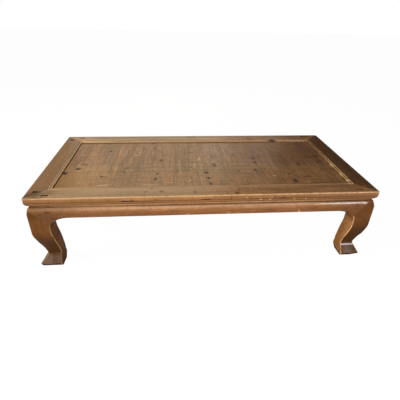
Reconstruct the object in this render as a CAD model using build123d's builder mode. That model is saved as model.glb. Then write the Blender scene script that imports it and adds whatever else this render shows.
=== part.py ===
"""A low waisted kang table with bulging shoulders and three-bend legs.

Millimetres, +Z up. The origin is on the floor below the middle of the top.
X runs along the table, and the front is towards -Y. Every "inset" is measured
inwards from the outer edge of the top, so one set of insets serves all four sides.
"""

import os

from build123d import *

# ---- driving dimensions ------------------------------------------------------------------

TABLE_LENGTH = 1800.0
TABLE_DEPTH = 880.0
TABLE_HEIGHT = 420.0

# mitred frame of the top
RAIL_WIDTH = 110.0
RAIL_THICKNESS = 46.0
RAIL_ROUND = 2.5  # worn rounding of the outer and inner top edges
BAND_HEIGHT = 29.0  # upright band above the moulding
QUIRK_STEP = 2.0  # step in, under the band
MOULDING_INSET = 9.0  # how far the moulding draws in at the underside
MOULDING_FOOT = 2.5  # small upright face at the foot of the moulding
BEAD_WIDTH = 6.0  # round bead along the inner edge of the flat
BEAD_QUIRK = 1.0  # sunk line between the flat and the bead
BEAD_GROOVE = 2.0  # sunk line between the bead and the ledge
BEAD_GROOVE_DROP = 2.0  # both lines lie this far below the ledge
LEDGE_WIDTH = 10.0  # lower ledge between the bead and the panel
LEDGE_DROP = 1.5

# floating panel of three boards
PANEL_DROP = 9.0  # panel surface below the top of the frame
BOARD_THICKNESS = 18.0
FRONT_BOARD_WIDTH = 205.0  # what shows of it inside the frame
MIDDLE_BOARD_WIDTH = 203.0
TONGUE_DROP = 8.0  # tongue's upper face below the panel surface
TONGUE_THICKNESS = 7.5
TONGUE_REACH = 9.0  # how far a tongue enters the frame
PANEL_GAP = 1.8  # room for the panel to swell
GROOVE_CLEARANCE = 0.25  # above and below a tongue
SEAM_CHAMFER = 0.8
SEAM_TONGUE_DROP = 6.0
SEAM_TONGUE_THICKNESS = 5.0
SEAM_TONGUE_REACH = 6.0

# dovetailed battens under the panel
BATTEN_COUNT = 4
BATTEN_WIDTH = 44.0
BATTEN_DEPTH = 28.0
DOVETAIL_ROOT = 20.0
DOVETAIL_TIP = 27.0
DOVETAIL_HEIGHT = 6.0
BATTEN_TENON_WIDTH = 30.0
BATTEN_TENON_THICKNESS = 11.0
BATTEN_TENON_LENGTH = 24.0
BATTEN_TENON_LIFT = 5.0  # above the underside of the rail

# waist
WAIST_INSET = 18.0
WAIST_HEIGHT = 8.0
WAIST_THICKNESS = 20.0
WAIST_TONGUE_INSET = 6.0  # behind the face of the waist
WAIST_TONGUE_THICKNESS = 8.0
WAIST_TONGUE_REACH = 5.0  # up into the rail and down into the apron

# aprons
APRON_HEIGHT = 61.0
APRON_BACK_INSET = 38.0
APRON_LEDGE = 2.5  # top of the apron stands out in front of the waist
BULGE_INSET = 1.0  # outermost line of the aprons and the shoulders
SHOULDER_DROP = 48.0  # height of the rounded shoulder
SPANDREL_DROP = 39.0  # the apron reaches this far below its straight edge at a leg
SPANDREL_RUN = 101.0
SPANDREL_LEAD = 24.0  # how far the curve holds its 45 degree start
SPANDREL_SWEEP = 50.0  # how far it holds its level end

# legs: insets of the outer and the inner face, and the heights they are taken at
LEG_BLOCK = 118.0
CUSP_INSET = 104.0
FLARE_HEIGHT = 18.0  # rise from the cusp to the full block
THROAT_INSET = 98.0
THROAT_DROP = 16.0  # below the cusp
CALF_INSET = 97.0
KNEE_HEIGHT = 215.0
SHIN_HEIGHT = 150.0
SHIN_OUTER_INSET = 13.5
SHIN_INNER_INSET = 102.5
SHANK_HEIGHT = 108.0
SHANK_OUTER_INSET = 29.0
ANKLE_HEIGHT = 66.0
ANKLE_OUTER_INSET = 39.0
ANKLE_INNER_INSET = 109.5
INSTEP_HEIGHT = 28.0
INSTEP_OUTER_INSET = 17.0
INSTEP_INNER_INSET = 110.0
TOE_HEIGHT = 12.0
TOE_INSET = 6.0
SOLE_OUTER_INSET = 9.0
SOLE_INNER_INSET = 117.0

# tenons on top of each leg, both right through the frame and wedged
RAIL_TENON_START = 80.0  # along the long rail, from its outer corner
RAIL_TENON_LENGTH = 36.0
RAIL_TENON_INSET = 22.0
RAIL_TENON_THICKNESS = 14.0
END_TENON_START = 56.0  # along the short rail
END_TENON_LENGTH = 24.0
END_TENON_INSET = 28.0
END_TENON_THICKNESS = 24.0
WEDGE_THICKNESS = 4.0
WEDGE_POINT = 1.2
WEDGE_LENGTH = 28.0

# tenons that lock the mitres of the frame
FRAME_TENON_INSET = 84.0
FRAME_TENON_WIDTH = 20.0
FRAME_TENON_THICKNESS = 12.0
FRAME_TENON_LIFT = 5.0
FRAME_TENON_COVER = 14.0  # wood left beyond the blind mortise

# joints between an apron and a leg
APRON_TENON_LENGTH = 20.0
APRON_TENON_INSET = 24.0
APRON_TENON_THICKNESS = 10.0
APRON_TENON_DROP = 21.0  # below the top of the apron
APRON_TENON_HEIGHT = 45.0
PIN_ALONG = 68.0  # dovetailed hanging pin, from the outer corner to its middle
PIN_ROOT = 12.0
PIN_TIP = 16.0
PIN_REACH = 8.0
PIN_DROP = 22.0
PIN_BURIAL = 4.0  # the pin starts this far below the mitred shoulder

# ---- levels and lines that follow from them ----------------------------------------------

rail_bottom = TABLE_HEIGHT - RAIL_THICKNESS
apron_top = rail_bottom - WAIST_HEIGHT
apron_bottom = apron_top - APRON_HEIGHT
bulge_height = apron_top - SHOULDER_DROP
bulge_top_inset = WAIST_INSET - APRON_LEDGE
cusp_height = apron_bottom - SPANDREL_DROP
panel_top = TABLE_HEIGHT - PANEL_DROP
panel_bottom = panel_top - BOARD_THICKNESS
tongue_top = panel_top - TONGUE_DROP
tongue_bottom = tongue_top - TONGUE_THICKNESS
board_shoulder = RAIL_WIDTH + PANEL_GAP
tongue_end = RAIL_WIDTH - TONGUE_REACH
half_length = TABLE_LENGTH / 2
half_depth = TABLE_DEPTH / 2

batten_pitch = TABLE_LENGTH / (BATTEN_COUNT + 1)
batten_middles = [batten_pitch * (index + 1) - half_length for index in range(BATTEN_COUNT)]
front_seam = RAIL_WIDTH + FRONT_BOARD_WIDTH - half_depth
back_seam = front_seam + MIDDLE_BOARD_WIDTH
seam_tongue_top = panel_top - SEAM_TONGUE_DROP
seam_tongue_levels = (seam_tongue_top - SEAM_TONGUE_THICKNESS, seam_tongue_top)
board_levels = (panel_bottom, panel_top)
body_reach = half_length - board_shoulder
tongue_reach = half_length - tongue_end

# A side's plane lies on the floor: x along the side, y inwards from its outer edge.
FRONT = Plane(origin=(0, -half_depth, 0), x_dir=(1, 0, 0), z_dir=(0, 0, 1))
BACK = Plane(origin=(0, half_depth, 0), x_dir=(-1, 0, 0), z_dir=(0, 0, 1))
LEFT = Plane(origin=(-half_length, 0, 0), x_dir=(0, -1, 0), z_dir=(0, 0, 1))
RIGHT = Plane(origin=(half_length, 0, 0), x_dir=(0, 1, 0), z_dir=(0, 0, 1))
SIDES = {
    "front": (FRONT, TABLE_LENGTH),
    "back": (BACK, TABLE_LENGTH),
    "left": (LEFT, TABLE_DEPTH),
    "right": (RIGHT, TABLE_DEPTH),
}
LONG_SIDES = ("front", "back")

# The front left corner of the top, straight below it on the floor.
CORNER = Plane(origin=(-half_length, -half_depth, 0), x_dir=(1, 0, 0), z_dir=(0, 0, 1))


def save(piece, label):
    """Labels a finished piece and writes it as its own file."""
    piece.label = label
    export_step(piece, f"parts/{label}.step")


def across(side, along=0.0):
    """Plane across a side: x is the inset, y is the height, and the normal runs along it."""
    return Plane(side.from_local_coords((along, 0, 0)), side.y_dir, side.x_dir)


def facing(side, inset=0.0):
    """Plane of a side seen from outside: x runs along it, y is the height."""
    return Plane(side.from_local_coords((0, inset, 0)), side.x_dir, -side.y_dir)


def block(base, x_range, y_range, z_range, mode=Mode.ADD):
    """A rectangular block between three pairs of limits, measured from a base plane."""
    with BuildSketch(base.offset(z_range[0])) as plan:
        with Locations(((x_range[0] + x_range[1]) / 2, (y_range[0] + y_range[1]) / 2)):
            Rectangle(x_range[1] - x_range[0], y_range[1] - y_range[0])
    extrude(plan.sketch, amount=z_range[1] - z_range[0], mode=mode)


def both_ends(length, low, high):
    """Two ranges along a side, each from low to high measured from one of its ends."""
    half = length / 2
    return ((low - half, high - half), (half - high, half - low))


def mitre_ends(side, length):
    """Cuts both ends of the open part at 45 degrees in plan, with the outer edge longest."""
    reach = RAIL_WIDTH * 2
    with BuildSketch(side) as offcuts:
        for end in (-1, 1):
            corner = end * length / 2
            with BuildLine():
                Polyline(
                    (corner + end * reach, -reach),
                    (corner + end * reach, reach),
                    (corner - end * reach, reach),
                    close=True,
                )
            make_face()
    extrude(offcuts.sketch, amount=TABLE_HEIGHT * 2, mode=Mode.SUBTRACT)


def seam_height(inset):
    """Height of the mitred seam between an apron and a leg, at an inset from the leg."""
    slope = (apron_top - cusp_height) / (CUSP_INSET - bulge_top_inset)
    return apron_top - (inset - bulge_top_inset) * slope


# ---- cuts and tenons that several pieces share -------------------------------------------


def rail_tenon_ranges():
    """Plan limits of the leg's tenon in the long rail, from the corner."""
    along = (RAIL_TENON_START, RAIL_TENON_START + RAIL_TENON_LENGTH)
    return along, (RAIL_TENON_INSET, RAIL_TENON_INSET + RAIL_TENON_THICKNESS)


def end_tenon_ranges():
    """Plan limits of the leg's tenon in the short rail, from the corner."""
    along = (END_TENON_START, END_TENON_START + END_TENON_LENGTH)
    return (END_TENON_INSET, END_TENON_INSET + END_TENON_THICKNESS), along


def waist_tongue(side, length, levels, mode):
    """Tongue along a waist strip, or the groove that takes it, between two levels."""
    start = WAIST_INSET + WAIST_TONGUE_INSET
    reach = length / 2 - LEG_BLOCK
    block(side, (-reach, reach), (start, start + WAIST_TONGUE_THICKNESS), levels, mode)


def apron_tenon(side, length, mode):
    """Tenons at both ends of an apron, or their mortises in the legs."""
    low = LEG_BLOCK - APRON_TENON_LENGTH
    top = apron_top - APRON_TENON_DROP
    depth = (APRON_TENON_INSET, APRON_TENON_INSET + APRON_TENON_THICKNESS)
    for along in both_ends(length, low, LEG_BLOCK):
        block(side, along, depth, (top - APRON_TENON_HEIGHT, top), mode)


def hanging_pins(side, length, mode, ends=(-1, 1)):
    """Dovetailed pins that hang an apron on its legs, or their sockets in the apron."""
    bottom = seam_height(PIN_ALONG + PIN_TIP / 2) - PIN_BURIAL
    with BuildSketch(side.offset(bottom)) as dovetails:
        for end in ends:
            middle = end * (length / 2 - PIN_ALONG)
            with BuildLine():
                Polyline(
                    (middle - PIN_ROOT / 2, WAIST_INSET),
                    (middle - PIN_TIP / 2, WAIST_INSET - PIN_REACH),
                    (middle + PIN_TIP / 2, WAIST_INSET - PIN_REACH),
                    (middle + PIN_ROOT / 2, WAIST_INSET),
                    close=True,
                )
            make_face()
    extrude(dovetails.sketch, amount=apron_top - PIN_DROP - bottom, mode=mode)


def batten_tenons(x_middle, mode):
    """Tenons at both ends of a batten, or their mortises in the long rails."""
    half = half_depth - RAIL_WIDTH + BATTEN_TENON_LENGTH
    bottom = rail_bottom + BATTEN_TENON_LIFT
    x_range = (x_middle - BATTEN_TENON_WIDTH / 2, x_middle + BATTEN_TENON_WIDTH / 2)
    block(Plane.XY, x_range, (-half, half), (bottom, bottom + BATTEN_TENON_THICKNESS), mode)


def batten_dovetail(x_middle, half_run, mode):
    """Dovetailed ridge on top of a batten, or its groove under the boards."""
    with BuildSketch(Plane.XZ.offset(-half_run)) as ridge:
        with BuildLine():
            Polyline(
                (x_middle - DOVETAIL_ROOT / 2, panel_bottom),
                (x_middle - DOVETAIL_TIP / 2, panel_bottom + DOVETAIL_HEIGHT),
                (x_middle + DOVETAIL_TIP / 2, panel_bottom + DOVETAIL_HEIGHT),
                (x_middle + DOVETAIL_ROOT / 2, panel_bottom),
                close=True,
            )
        make_face()
    extrude(ridge.sketch, amount=half_run * 2, mode=mode)


def wedge(x_range, y_range, mode=Mode.ADD):
    """Wedge driven into the end grain of a leg's tenon, thin across X."""
    middle = (x_range[0] + x_range[1]) / 2
    with BuildSketch(facing(CORNER, y_range[0])) as taper:
        with BuildLine():
            Polyline(
                (middle - WEDGE_THICKNESS / 2, TABLE_HEIGHT),
                (middle - WEDGE_POINT / 2, TABLE_HEIGHT - WEDGE_LENGTH),
                (middle + WEDGE_POINT / 2, TABLE_HEIGHT - WEDGE_LENGTH),
                (middle + WEDGE_THICKNESS / 2, TABLE_HEIGHT),
                close=True,
            )
        make_face()
    extrude(taper.sketch, amount=y_range[0] - y_range[1], mode=mode)


# ---- frame rails -------------------------------------------------------------------------


def rail_section(side, along):
    """Moulded section of a frame rail, with the groove for the panel on its inner side."""
    bead_end = RAIL_WIDTH - LEDGE_WIDTH - BEAD_GROOVE
    bead_start = bead_end - BEAD_WIDTH
    ledge_start = bead_end + BEAD_GROOVE
    ledge_top = TABLE_HEIGHT - LEDGE_DROP
    flat_end = bead_start - BEAD_QUIRK
    groove_foot = ledge_top - BEAD_GROOVE_DROP
    band_bottom = TABLE_HEIGHT - BAND_HEIGHT
    foot_top = rail_bottom + MOULDING_FOOT
    panel_groove_middle = (tongue_end - PANEL_GAP + RAIL_WIDTH) / 2
    with BuildSketch(across(side, along)) as section:
        with BuildLine():
            Line((0, band_bottom), (0, TABLE_HEIGHT))
            Polyline(
                (0, TABLE_HEIGHT),
                (flat_end, TABLE_HEIGHT),
                (flat_end, groove_foot),
                (ledge_start, groove_foot),
                (ledge_start, ledge_top),
                (RAIL_WIDTH, ledge_top),
                (RAIL_WIDTH, rail_bottom),
                (MOULDING_INSET, rail_bottom),
                (MOULDING_INSET, foot_top),
            )
            SagittaArc((MOULDING_INSET, foot_top), (QUIRK_STEP, band_bottom), QUIRK_STEP)
            Line((QUIRK_STEP, band_bottom), (0, band_bottom))
        make_face()
        outer_arris = section.vertices().group_by(Axis.X)[0].sort_by(Axis.Y)[-1]
        inner_arris = section.vertices().group_by(Axis.X)[-1].sort_by(Axis.Y)[-1]
        fillet((outer_arris, inner_arris), RAIL_ROUND)
        with Locations((bead_start + BEAD_WIDTH / 2, TABLE_HEIGHT - BEAD_WIDTH / 2)):
            Circle(BEAD_WIDTH / 2)
        with Locations((panel_groove_middle, (tongue_top + tongue_bottom) / 2)):
            Rectangle(
                2 * (RAIL_WIDTH - panel_groove_middle),
                TONGUE_THICKNESS + 2 * GROOVE_CLEARANCE,
                mode=Mode.SUBTRACT,
            )
    return section.sketch


def frame_tenons(side, length, mode):
    """Tenons of a long rail, across both mitres, or their mortises when cut away."""
    bottom = rail_bottom + FRAME_TENON_LIFT
    levels = (bottom, bottom + FRAME_TENON_THICKNESS)
    depth = (FRAME_TENON_INSET, FRAME_TENON_INSET + FRAME_TENON_WIDTH)
    for along in both_ends(length, FRAME_TENON_COVER, depth[1]):
        block(side, along, depth, levels, mode)


def make_rail(name, side, length):
    """One rail of the mitred frame, with every mortise that is cut into it."""
    with BuildPart() as rail:
        extrude(rail_section(side, -length / 2), amount=length)
        mitre_ends(side, length)
        if name in LONG_SIDES:
            frame_tenons(side, length, Mode.ADD)
            (low, high), depth = rail_tenon_ranges()
            for x_middle in batten_middles:
                batten_tenons(x_middle, Mode.SUBTRACT)
        else:
            frame_tenons(FRONT, TABLE_LENGTH, Mode.SUBTRACT)
            frame_tenons(BACK, TABLE_LENGTH, Mode.SUBTRACT)
            depth, (low, high) = end_tenon_ranges()
        for along in both_ends(length, low, high):
            block(side, along, depth, (rail_bottom, TABLE_HEIGHT), Mode.SUBTRACT)
        groove = (rail_bottom, rail_bottom + WAIST_TONGUE_REACH)
        waist_tongue(side, length, groove, Mode.SUBTRACT)
    save(rail.part, f"{name}_frame_rail")


# ---- panel -------------------------------------------------------------------------------


def make_board(name, body_range, tongue_range, tongued_seams=(), grooved_seams=()):
    """One board of the panel, tongued into the frame and into the boards beside it."""
    with BuildPart() as board:
        block(Plane.XY, (-body_reach, body_reach), body_range, board_levels)
        top_edges = board.edges().group_by(Axis.Z)[-1].filter_by(Axis.X)
        for seam in (*tongued_seams, *grooved_seams):
            seam_edge = top_edges.sort_by_distance((0, seam, panel_top))[0]
            chamfer(seam_edge, SEAM_CHAMFER)
        tongue_levels = (tongue_bottom, tongue_top)
        block(Plane.XY, (-tongue_reach, tongue_reach), tongue_range, tongue_levels)
        for seams, mode in ((tongued_seams, Mode.ADD), (grooved_seams, Mode.SUBTRACT)):
            for seam in seams:
                spread = (seam - SEAM_TONGUE_REACH, seam + SEAM_TONGUE_REACH)
                block(Plane.XY, (-body_reach, body_reach), spread, seam_tongue_levels, mode)
        for x_middle in batten_middles:
            batten_dovetail(x_middle, half_depth, Mode.SUBTRACT)
    save(board.part, name)


def make_batten(name, x_middle):
    """A batten under the panel: dovetailed into the boards, tenoned into the long rails."""
    half_run = half_depth - RAIL_WIDTH
    x_range = (x_middle - BATTEN_WIDTH / 2, x_middle + BATTEN_WIDTH / 2)
    with BuildPart() as batten:
        levels = (panel_bottom - BATTEN_DEPTH, panel_bottom)
        block(Plane.XY, x_range, (-half_run, half_run), levels)
        batten_dovetail(x_middle, half_depth - board_shoulder, Mode.ADD)
        batten_tenons(x_middle, Mode.ADD)
    save(batten.part, name)


# ---- waist and aprons --------------------------------------------------------------------


def make_waist(name, side, length):
    """A waist strip between two legs, tongued up into the rail and down into the apron."""
    reach = length / 2 - LEG_BLOCK
    with BuildPart() as waist:
        depth = (WAIST_INSET, WAIST_INSET + WAIST_THICKNESS)
        block(side, (-reach, reach), depth, (apron_top, rail_bottom))
        levels = (apron_top - WAIST_TONGUE_REACH, rail_bottom + WAIST_TONGUE_REACH)
        waist_tongue(side, length, levels, Mode.ADD)
    save(waist.part, f"{name}_waist")


def bulged_face(bottom):
    """Outer outline shared by the aprons and the legs, from the waist down to a level."""
    Line((bulge_top_inset, apron_top), (WAIST_INSET, apron_top))
    TangentArc((BULGE_INSET, bulge_height), (bulge_top_inset, apron_top), tangent=(0, 1))
    Line((BULGE_INSET, bulge_height), (BULGE_INSET, bottom))


def apron_outline(side, length):
    """Elevation of an apron: its mitred seams, the curves at the legs, the straight edge."""
    with BuildSketch(facing(side)) as outline:
        for end in (-1, 1):
            corner = end * length / 2
            with BuildLine():
                Polyline(
                    (0, apron_bottom),
                    (0, apron_top),
                    (corner - end * bulge_top_inset, apron_top),
                    (corner - end * CUSP_INSET, cusp_height),
                )
                curve_end = corner - end * (CUSP_INSET + SPANDREL_RUN)
                Bezier(
                    (corner - end * CUSP_INSET, cusp_height),
                    (
                        corner - end * (CUSP_INSET + SPANDREL_LEAD),
                        cusp_height + SPANDREL_LEAD,
                    ),
                    (curve_end + end * SPANDREL_SWEEP, apron_bottom),
                    (curve_end, apron_bottom),
                )
                Line((curve_end, apron_bottom), (0, apron_bottom))
            make_face()
    return outline.sketch


def make_apron(name, side, length):
    """A bulging apron whose mitred ends lap over the two legs that carry it."""
    reach = length / 2 - LEG_BLOCK
    with BuildPart() as apron:
        with BuildSketch(across(side, -length / 2)):
            with BuildLine():
                bulged_face(0)
                Polyline(
                    (BULGE_INSET, 0),
                    (APRON_BACK_INSET, 0),
                    (APRON_BACK_INSET, apron_top),
                    (WAIST_INSET, apron_top),
                )
            make_face()
        extrude(amount=length)
        outline = apron_outline(side, length)
        extrude(outline, amount=-APRON_BACK_INSET, mode=Mode.INTERSECT)
        mitre_ends(side, length)
        for along in both_ends(length, 0, LEG_BLOCK):
            depth = (WAIST_INSET, APRON_BACK_INSET)
            block(side, along, depth, (0, apron_top), Mode.SUBTRACT)
        apron_tenon(side, length, Mode.ADD)
        hanging_pins(side, length, Mode.SUBTRACT)
        groove = (apron_top - WAIST_TONGUE_REACH, apron_top)
        waist_tongue(side, length, groove, Mode.SUBTRACT)
    save(apron.part, f"{name}_apron")


# ---- legs --------------------------------------------------------------------------------


def leg_outline(base):
    """Elevation of a leg, the same seen from the front and from the side."""
    calf_height = (cusp_height - THROAT_DROP + SHIN_HEIGHT) / 2
    with BuildSketch(base) as outline:
        with BuildLine():
            Polyline(
                (WAIST_INSET, apron_top),
                (WAIST_INSET, rail_bottom),
                (LEG_BLOCK, rail_bottom),
                (LEG_BLOCK, cusp_height + FLARE_HEIGHT),
                (CUSP_INSET, cusp_height),
            )
            bulged_face(KNEE_HEIGHT)
            Spline(
                (BULGE_INSET, KNEE_HEIGHT),
                (SHIN_OUTER_INSET, SHIN_HEIGHT),
                (SHANK_OUTER_INSET, SHANK_HEIGHT),
                (ANKLE_OUTER_INSET, ANKLE_HEIGHT),
                (INSTEP_OUTER_INSET, INSTEP_HEIGHT),
                (TOE_INSET, TOE_HEIGHT),
                tangents=((0, -1), (-1, -1)),
            )
            Spline(
                (CUSP_INSET, cusp_height),
                (THROAT_INSET, cusp_height - THROAT_DROP),
                (CALF_INSET, calf_height),
                (SHIN_INNER_INSET, SHIN_HEIGHT),
                (ANKLE_INNER_INSET, ANKLE_HEIGHT),
                (INSTEP_INNER_INSET, INSTEP_HEIGHT),
                (SOLE_INNER_INSET, 0),
                tangents=((-1, -1), (1, -1)),
            )
            Polyline((TOE_INSET, TOE_HEIGHT), (SOLE_OUTER_INSET, 0), (SOLE_INNER_INSET, 0))
        make_face()
    return outline.sketch


def seat_for_apron(base):
    """Elevation of what an apron's mitred end takes away from the face of a leg."""
    with BuildSketch(base) as seat:
        with BuildLine():
            Polyline(
                (bulge_top_inset, apron_top),
                (CUSP_INSET, cusp_height),
                (LEG_BLOCK, cusp_height),
                (LEG_BLOCK, apron_top),
                close=True,
            )
        make_face()
    return seat.sketch


def make_legs():
    """The front left leg, then its mirror images at the other three corners."""
    with BuildPart() as leg:
        extrude(leg_outline(facing(CORNER)), amount=-LEG_BLOCK)
        extrude(leg_outline(across(CORNER)), amount=LEG_BLOCK, mode=Mode.INTERSECT)
        extrude(seat_for_apron(facing(CORNER)), amount=-WAIST_INSET, mode=Mode.SUBTRACT)
        extrude(seat_for_apron(across(CORNER)), amount=WAIST_INSET, mode=Mode.SUBTRACT)
        hanging_pins(FRONT, TABLE_LENGTH, Mode.ADD, ends=(-1,))
        hanging_pins(LEFT, TABLE_DEPTH, Mode.ADD, ends=(1,))
        apron_tenon(FRONT, TABLE_LENGTH, Mode.SUBTRACT)
        apron_tenon(LEFT, TABLE_DEPTH, Mode.SUBTRACT)
        for ranges in (rail_tenon_ranges(), end_tenon_ranges()):
            block(CORNER, *ranges, (rail_bottom, TABLE_HEIGHT))
            wedge(*ranges, mode=Mode.SUBTRACT)
    save(leg.part, "front_left_leg")
    with BuildPart() as right_leg:
        mirror(leg.part, about=Plane.YZ)
    save(right_leg.part, "front_right_leg")
    for name, front_leg in (("left", leg), ("right", right_leg)):
        with BuildPart() as back_leg:
            mirror(front_leg.part, about=Plane.XZ)
        save(back_leg.part, f"back_{name}_leg")


def make_wedges():
    """The wedges in the end grain of the legs' tenons, two at each corner."""
    with BuildPart() as wedges:
        for ranges in (rail_tenon_ranges(), end_tenon_ranges()):
            wedge(*ranges)
        mirror(about=Plane.YZ)
        mirror(about=Plane.XZ)
    save(wedges.part, "leg_tenon_wedges")


# ---- the whole table ---------------------------------------------------------------------

os.makedirs("parts", exist_ok=True)

for name, (side, length) in SIDES.items():
    make_rail(name, side, length)
    make_waist(name, side, length)
    make_apron(name, side, length)

front_limits = (board_shoulder - half_depth, front_seam)
back_limits = (back_seam, half_depth - board_shoulder)
middle_limits = (front_seam, back_seam)
front_tongue = (tongue_end - half_depth, front_seam)
back_tongue = (back_seam, half_depth - tongue_end)
make_board("front_panel_board", front_limits, front_tongue, grooved_seams=(front_seam,))
make_board("middle_panel_board", middle_limits, middle_limits, tongued_seams=middle_limits)
make_board("back_panel_board", back_limits, back_tongue, grooved_seams=(back_seam,))

for index, x_middle in enumerate(batten_middles):
    make_batten(f"panel_batten_{index + 1}", x_middle)

make_legs()
make_wedges()
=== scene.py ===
import math

import bmesh
import bpy
from mathutils import Matrix, Vector, noise


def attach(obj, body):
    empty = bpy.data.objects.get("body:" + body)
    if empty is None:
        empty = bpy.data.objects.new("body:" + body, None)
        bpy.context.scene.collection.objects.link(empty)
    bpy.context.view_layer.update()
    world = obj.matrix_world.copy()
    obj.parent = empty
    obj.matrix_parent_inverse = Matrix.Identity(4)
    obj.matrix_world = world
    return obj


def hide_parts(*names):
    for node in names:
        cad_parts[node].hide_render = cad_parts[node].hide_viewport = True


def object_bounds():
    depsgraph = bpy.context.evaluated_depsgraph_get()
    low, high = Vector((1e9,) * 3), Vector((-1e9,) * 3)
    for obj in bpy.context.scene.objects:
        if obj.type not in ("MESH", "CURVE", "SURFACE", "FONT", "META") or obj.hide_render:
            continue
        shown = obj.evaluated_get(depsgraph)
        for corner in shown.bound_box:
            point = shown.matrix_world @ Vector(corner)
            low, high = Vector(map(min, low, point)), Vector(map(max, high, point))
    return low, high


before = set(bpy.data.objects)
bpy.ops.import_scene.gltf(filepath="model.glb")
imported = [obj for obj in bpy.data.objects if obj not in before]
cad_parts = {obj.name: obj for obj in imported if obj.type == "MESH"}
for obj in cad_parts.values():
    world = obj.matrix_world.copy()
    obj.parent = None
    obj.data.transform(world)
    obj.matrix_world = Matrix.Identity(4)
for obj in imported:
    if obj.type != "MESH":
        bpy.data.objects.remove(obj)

CAD_LOW, CAD_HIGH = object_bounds()

bl_info = {
    "name": "Kang table",
    "version": (1, 0, 0),
    "blender": (4, 5, 0),
    "location": "View3D > Sidebar > Kang table",
    "description": "Builds a waisted kang table with a floating panel and three-bend legs",
    "category": "Add Mesh",
}

MM = 0.001
# two places closer than this are one point, or lie on one line
SAME_POINT = 1e-6
SAME_LINE = 1e-5
# cosine above which a face looks along a direction
LOOKS_ALONG = 0.99
# edges that turn less than this are shaded smooth, in degrees
SMOOTH_BELOW = 35


def srgb(red, green, blue):
    """Turns a colour in screen values, 0 to 255, into the linear colour of a shader."""
    linear = []
    for part in (red, green, blue):
        part = part / 255
        linear.append(part / 12.92 if part <= 0.04045 else ((part + 0.055) / 1.055) ** 2.4)
    return tuple(linear)


# ---- what a user may change --------------------------------------------------------------


def length_prop(name, description, default):
    """A length in metres."""
    return bpy.props.FloatProperty(
        name=name,
        description=description,
        default=default,
        min=0.0,
        precision=4,
        subtype="DISTANCE",
        unit="LENGTH",
    )


def colour_prop(name, description, default):
    """A colour without transparency."""
    return bpy.props.FloatVectorProperty(
        name=name,
        description=description,
        default=default,
        min=0.0,
        max=1.0,
        size=3,
        subtype="COLOR",
    )


def share_prop(name, description, default):
    """A share between none and all."""
    return bpy.props.FloatProperty(
        name=name,
        description=description,
        default=default,
        min=0.0,
        max=1.0,
        subtype="FACTOR",
    )


class KangTableSizes(bpy.types.PropertyGroup):
    """Sizes of the table. An inset is measured inwards from the outer edge of the top."""

    length: length_prop("Length", "Long side of the top", CAD_HIGH.x - CAD_LOW.x)
    depth: length_prop("Depth", "Short side of the top", CAD_HIGH.y - CAD_LOW.y)
    height: length_prop("Height", "Floor to the top of the frame", CAD_HIGH.z - CAD_LOW.z)
    rail_width: length_prop("Rail width", "Width of the frame's members", 110 * MM)
    rail_thickness: length_prop("Rail thickness", "Depth of the frame's edge", 46 * MM)
    band_height: length_prop("Band height", "Upright band above the moulding", 29 * MM)
    arris_round: length_prop("Arris rounding", "Worn rounding of the top's outer edge", 3 * MM)
    panel_drop: length_prop("Panel drop", "Panel below the top of the frame", 9 * MM)
    board_thickness: length_prop("Board thickness", "Thickness of the boards", 18 * MM)
    front_board: length_prop("Front board", "Width that shows of the front board", 205 * MM)
    middle_board: length_prop("Middle board", "Width of the middle board", 203 * MM)
    panel_gap: length_prop("Panel gap", "Room for the panel to swell", 1.8 * MM)
    waist_inset: length_prop("Waist inset", "Face of the waist, from the edge", 18 * MM)
    waist_height: length_prop("Waist height", "Height of the waist", 14 * MM)
    apron_height: length_prop("Apron height", "Height of the straight apron", 55 * MM)
    apron_back: length_prop("Apron back", "Back of the apron, from the edge", 38 * MM)
    leg_block: length_prop("Leg block", "Square block at the head of a leg", 118 * MM)
    leg_arris: length_prop("Leg arris", "Worn rounding of a leg's edges", 4.2 * MM)


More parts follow.
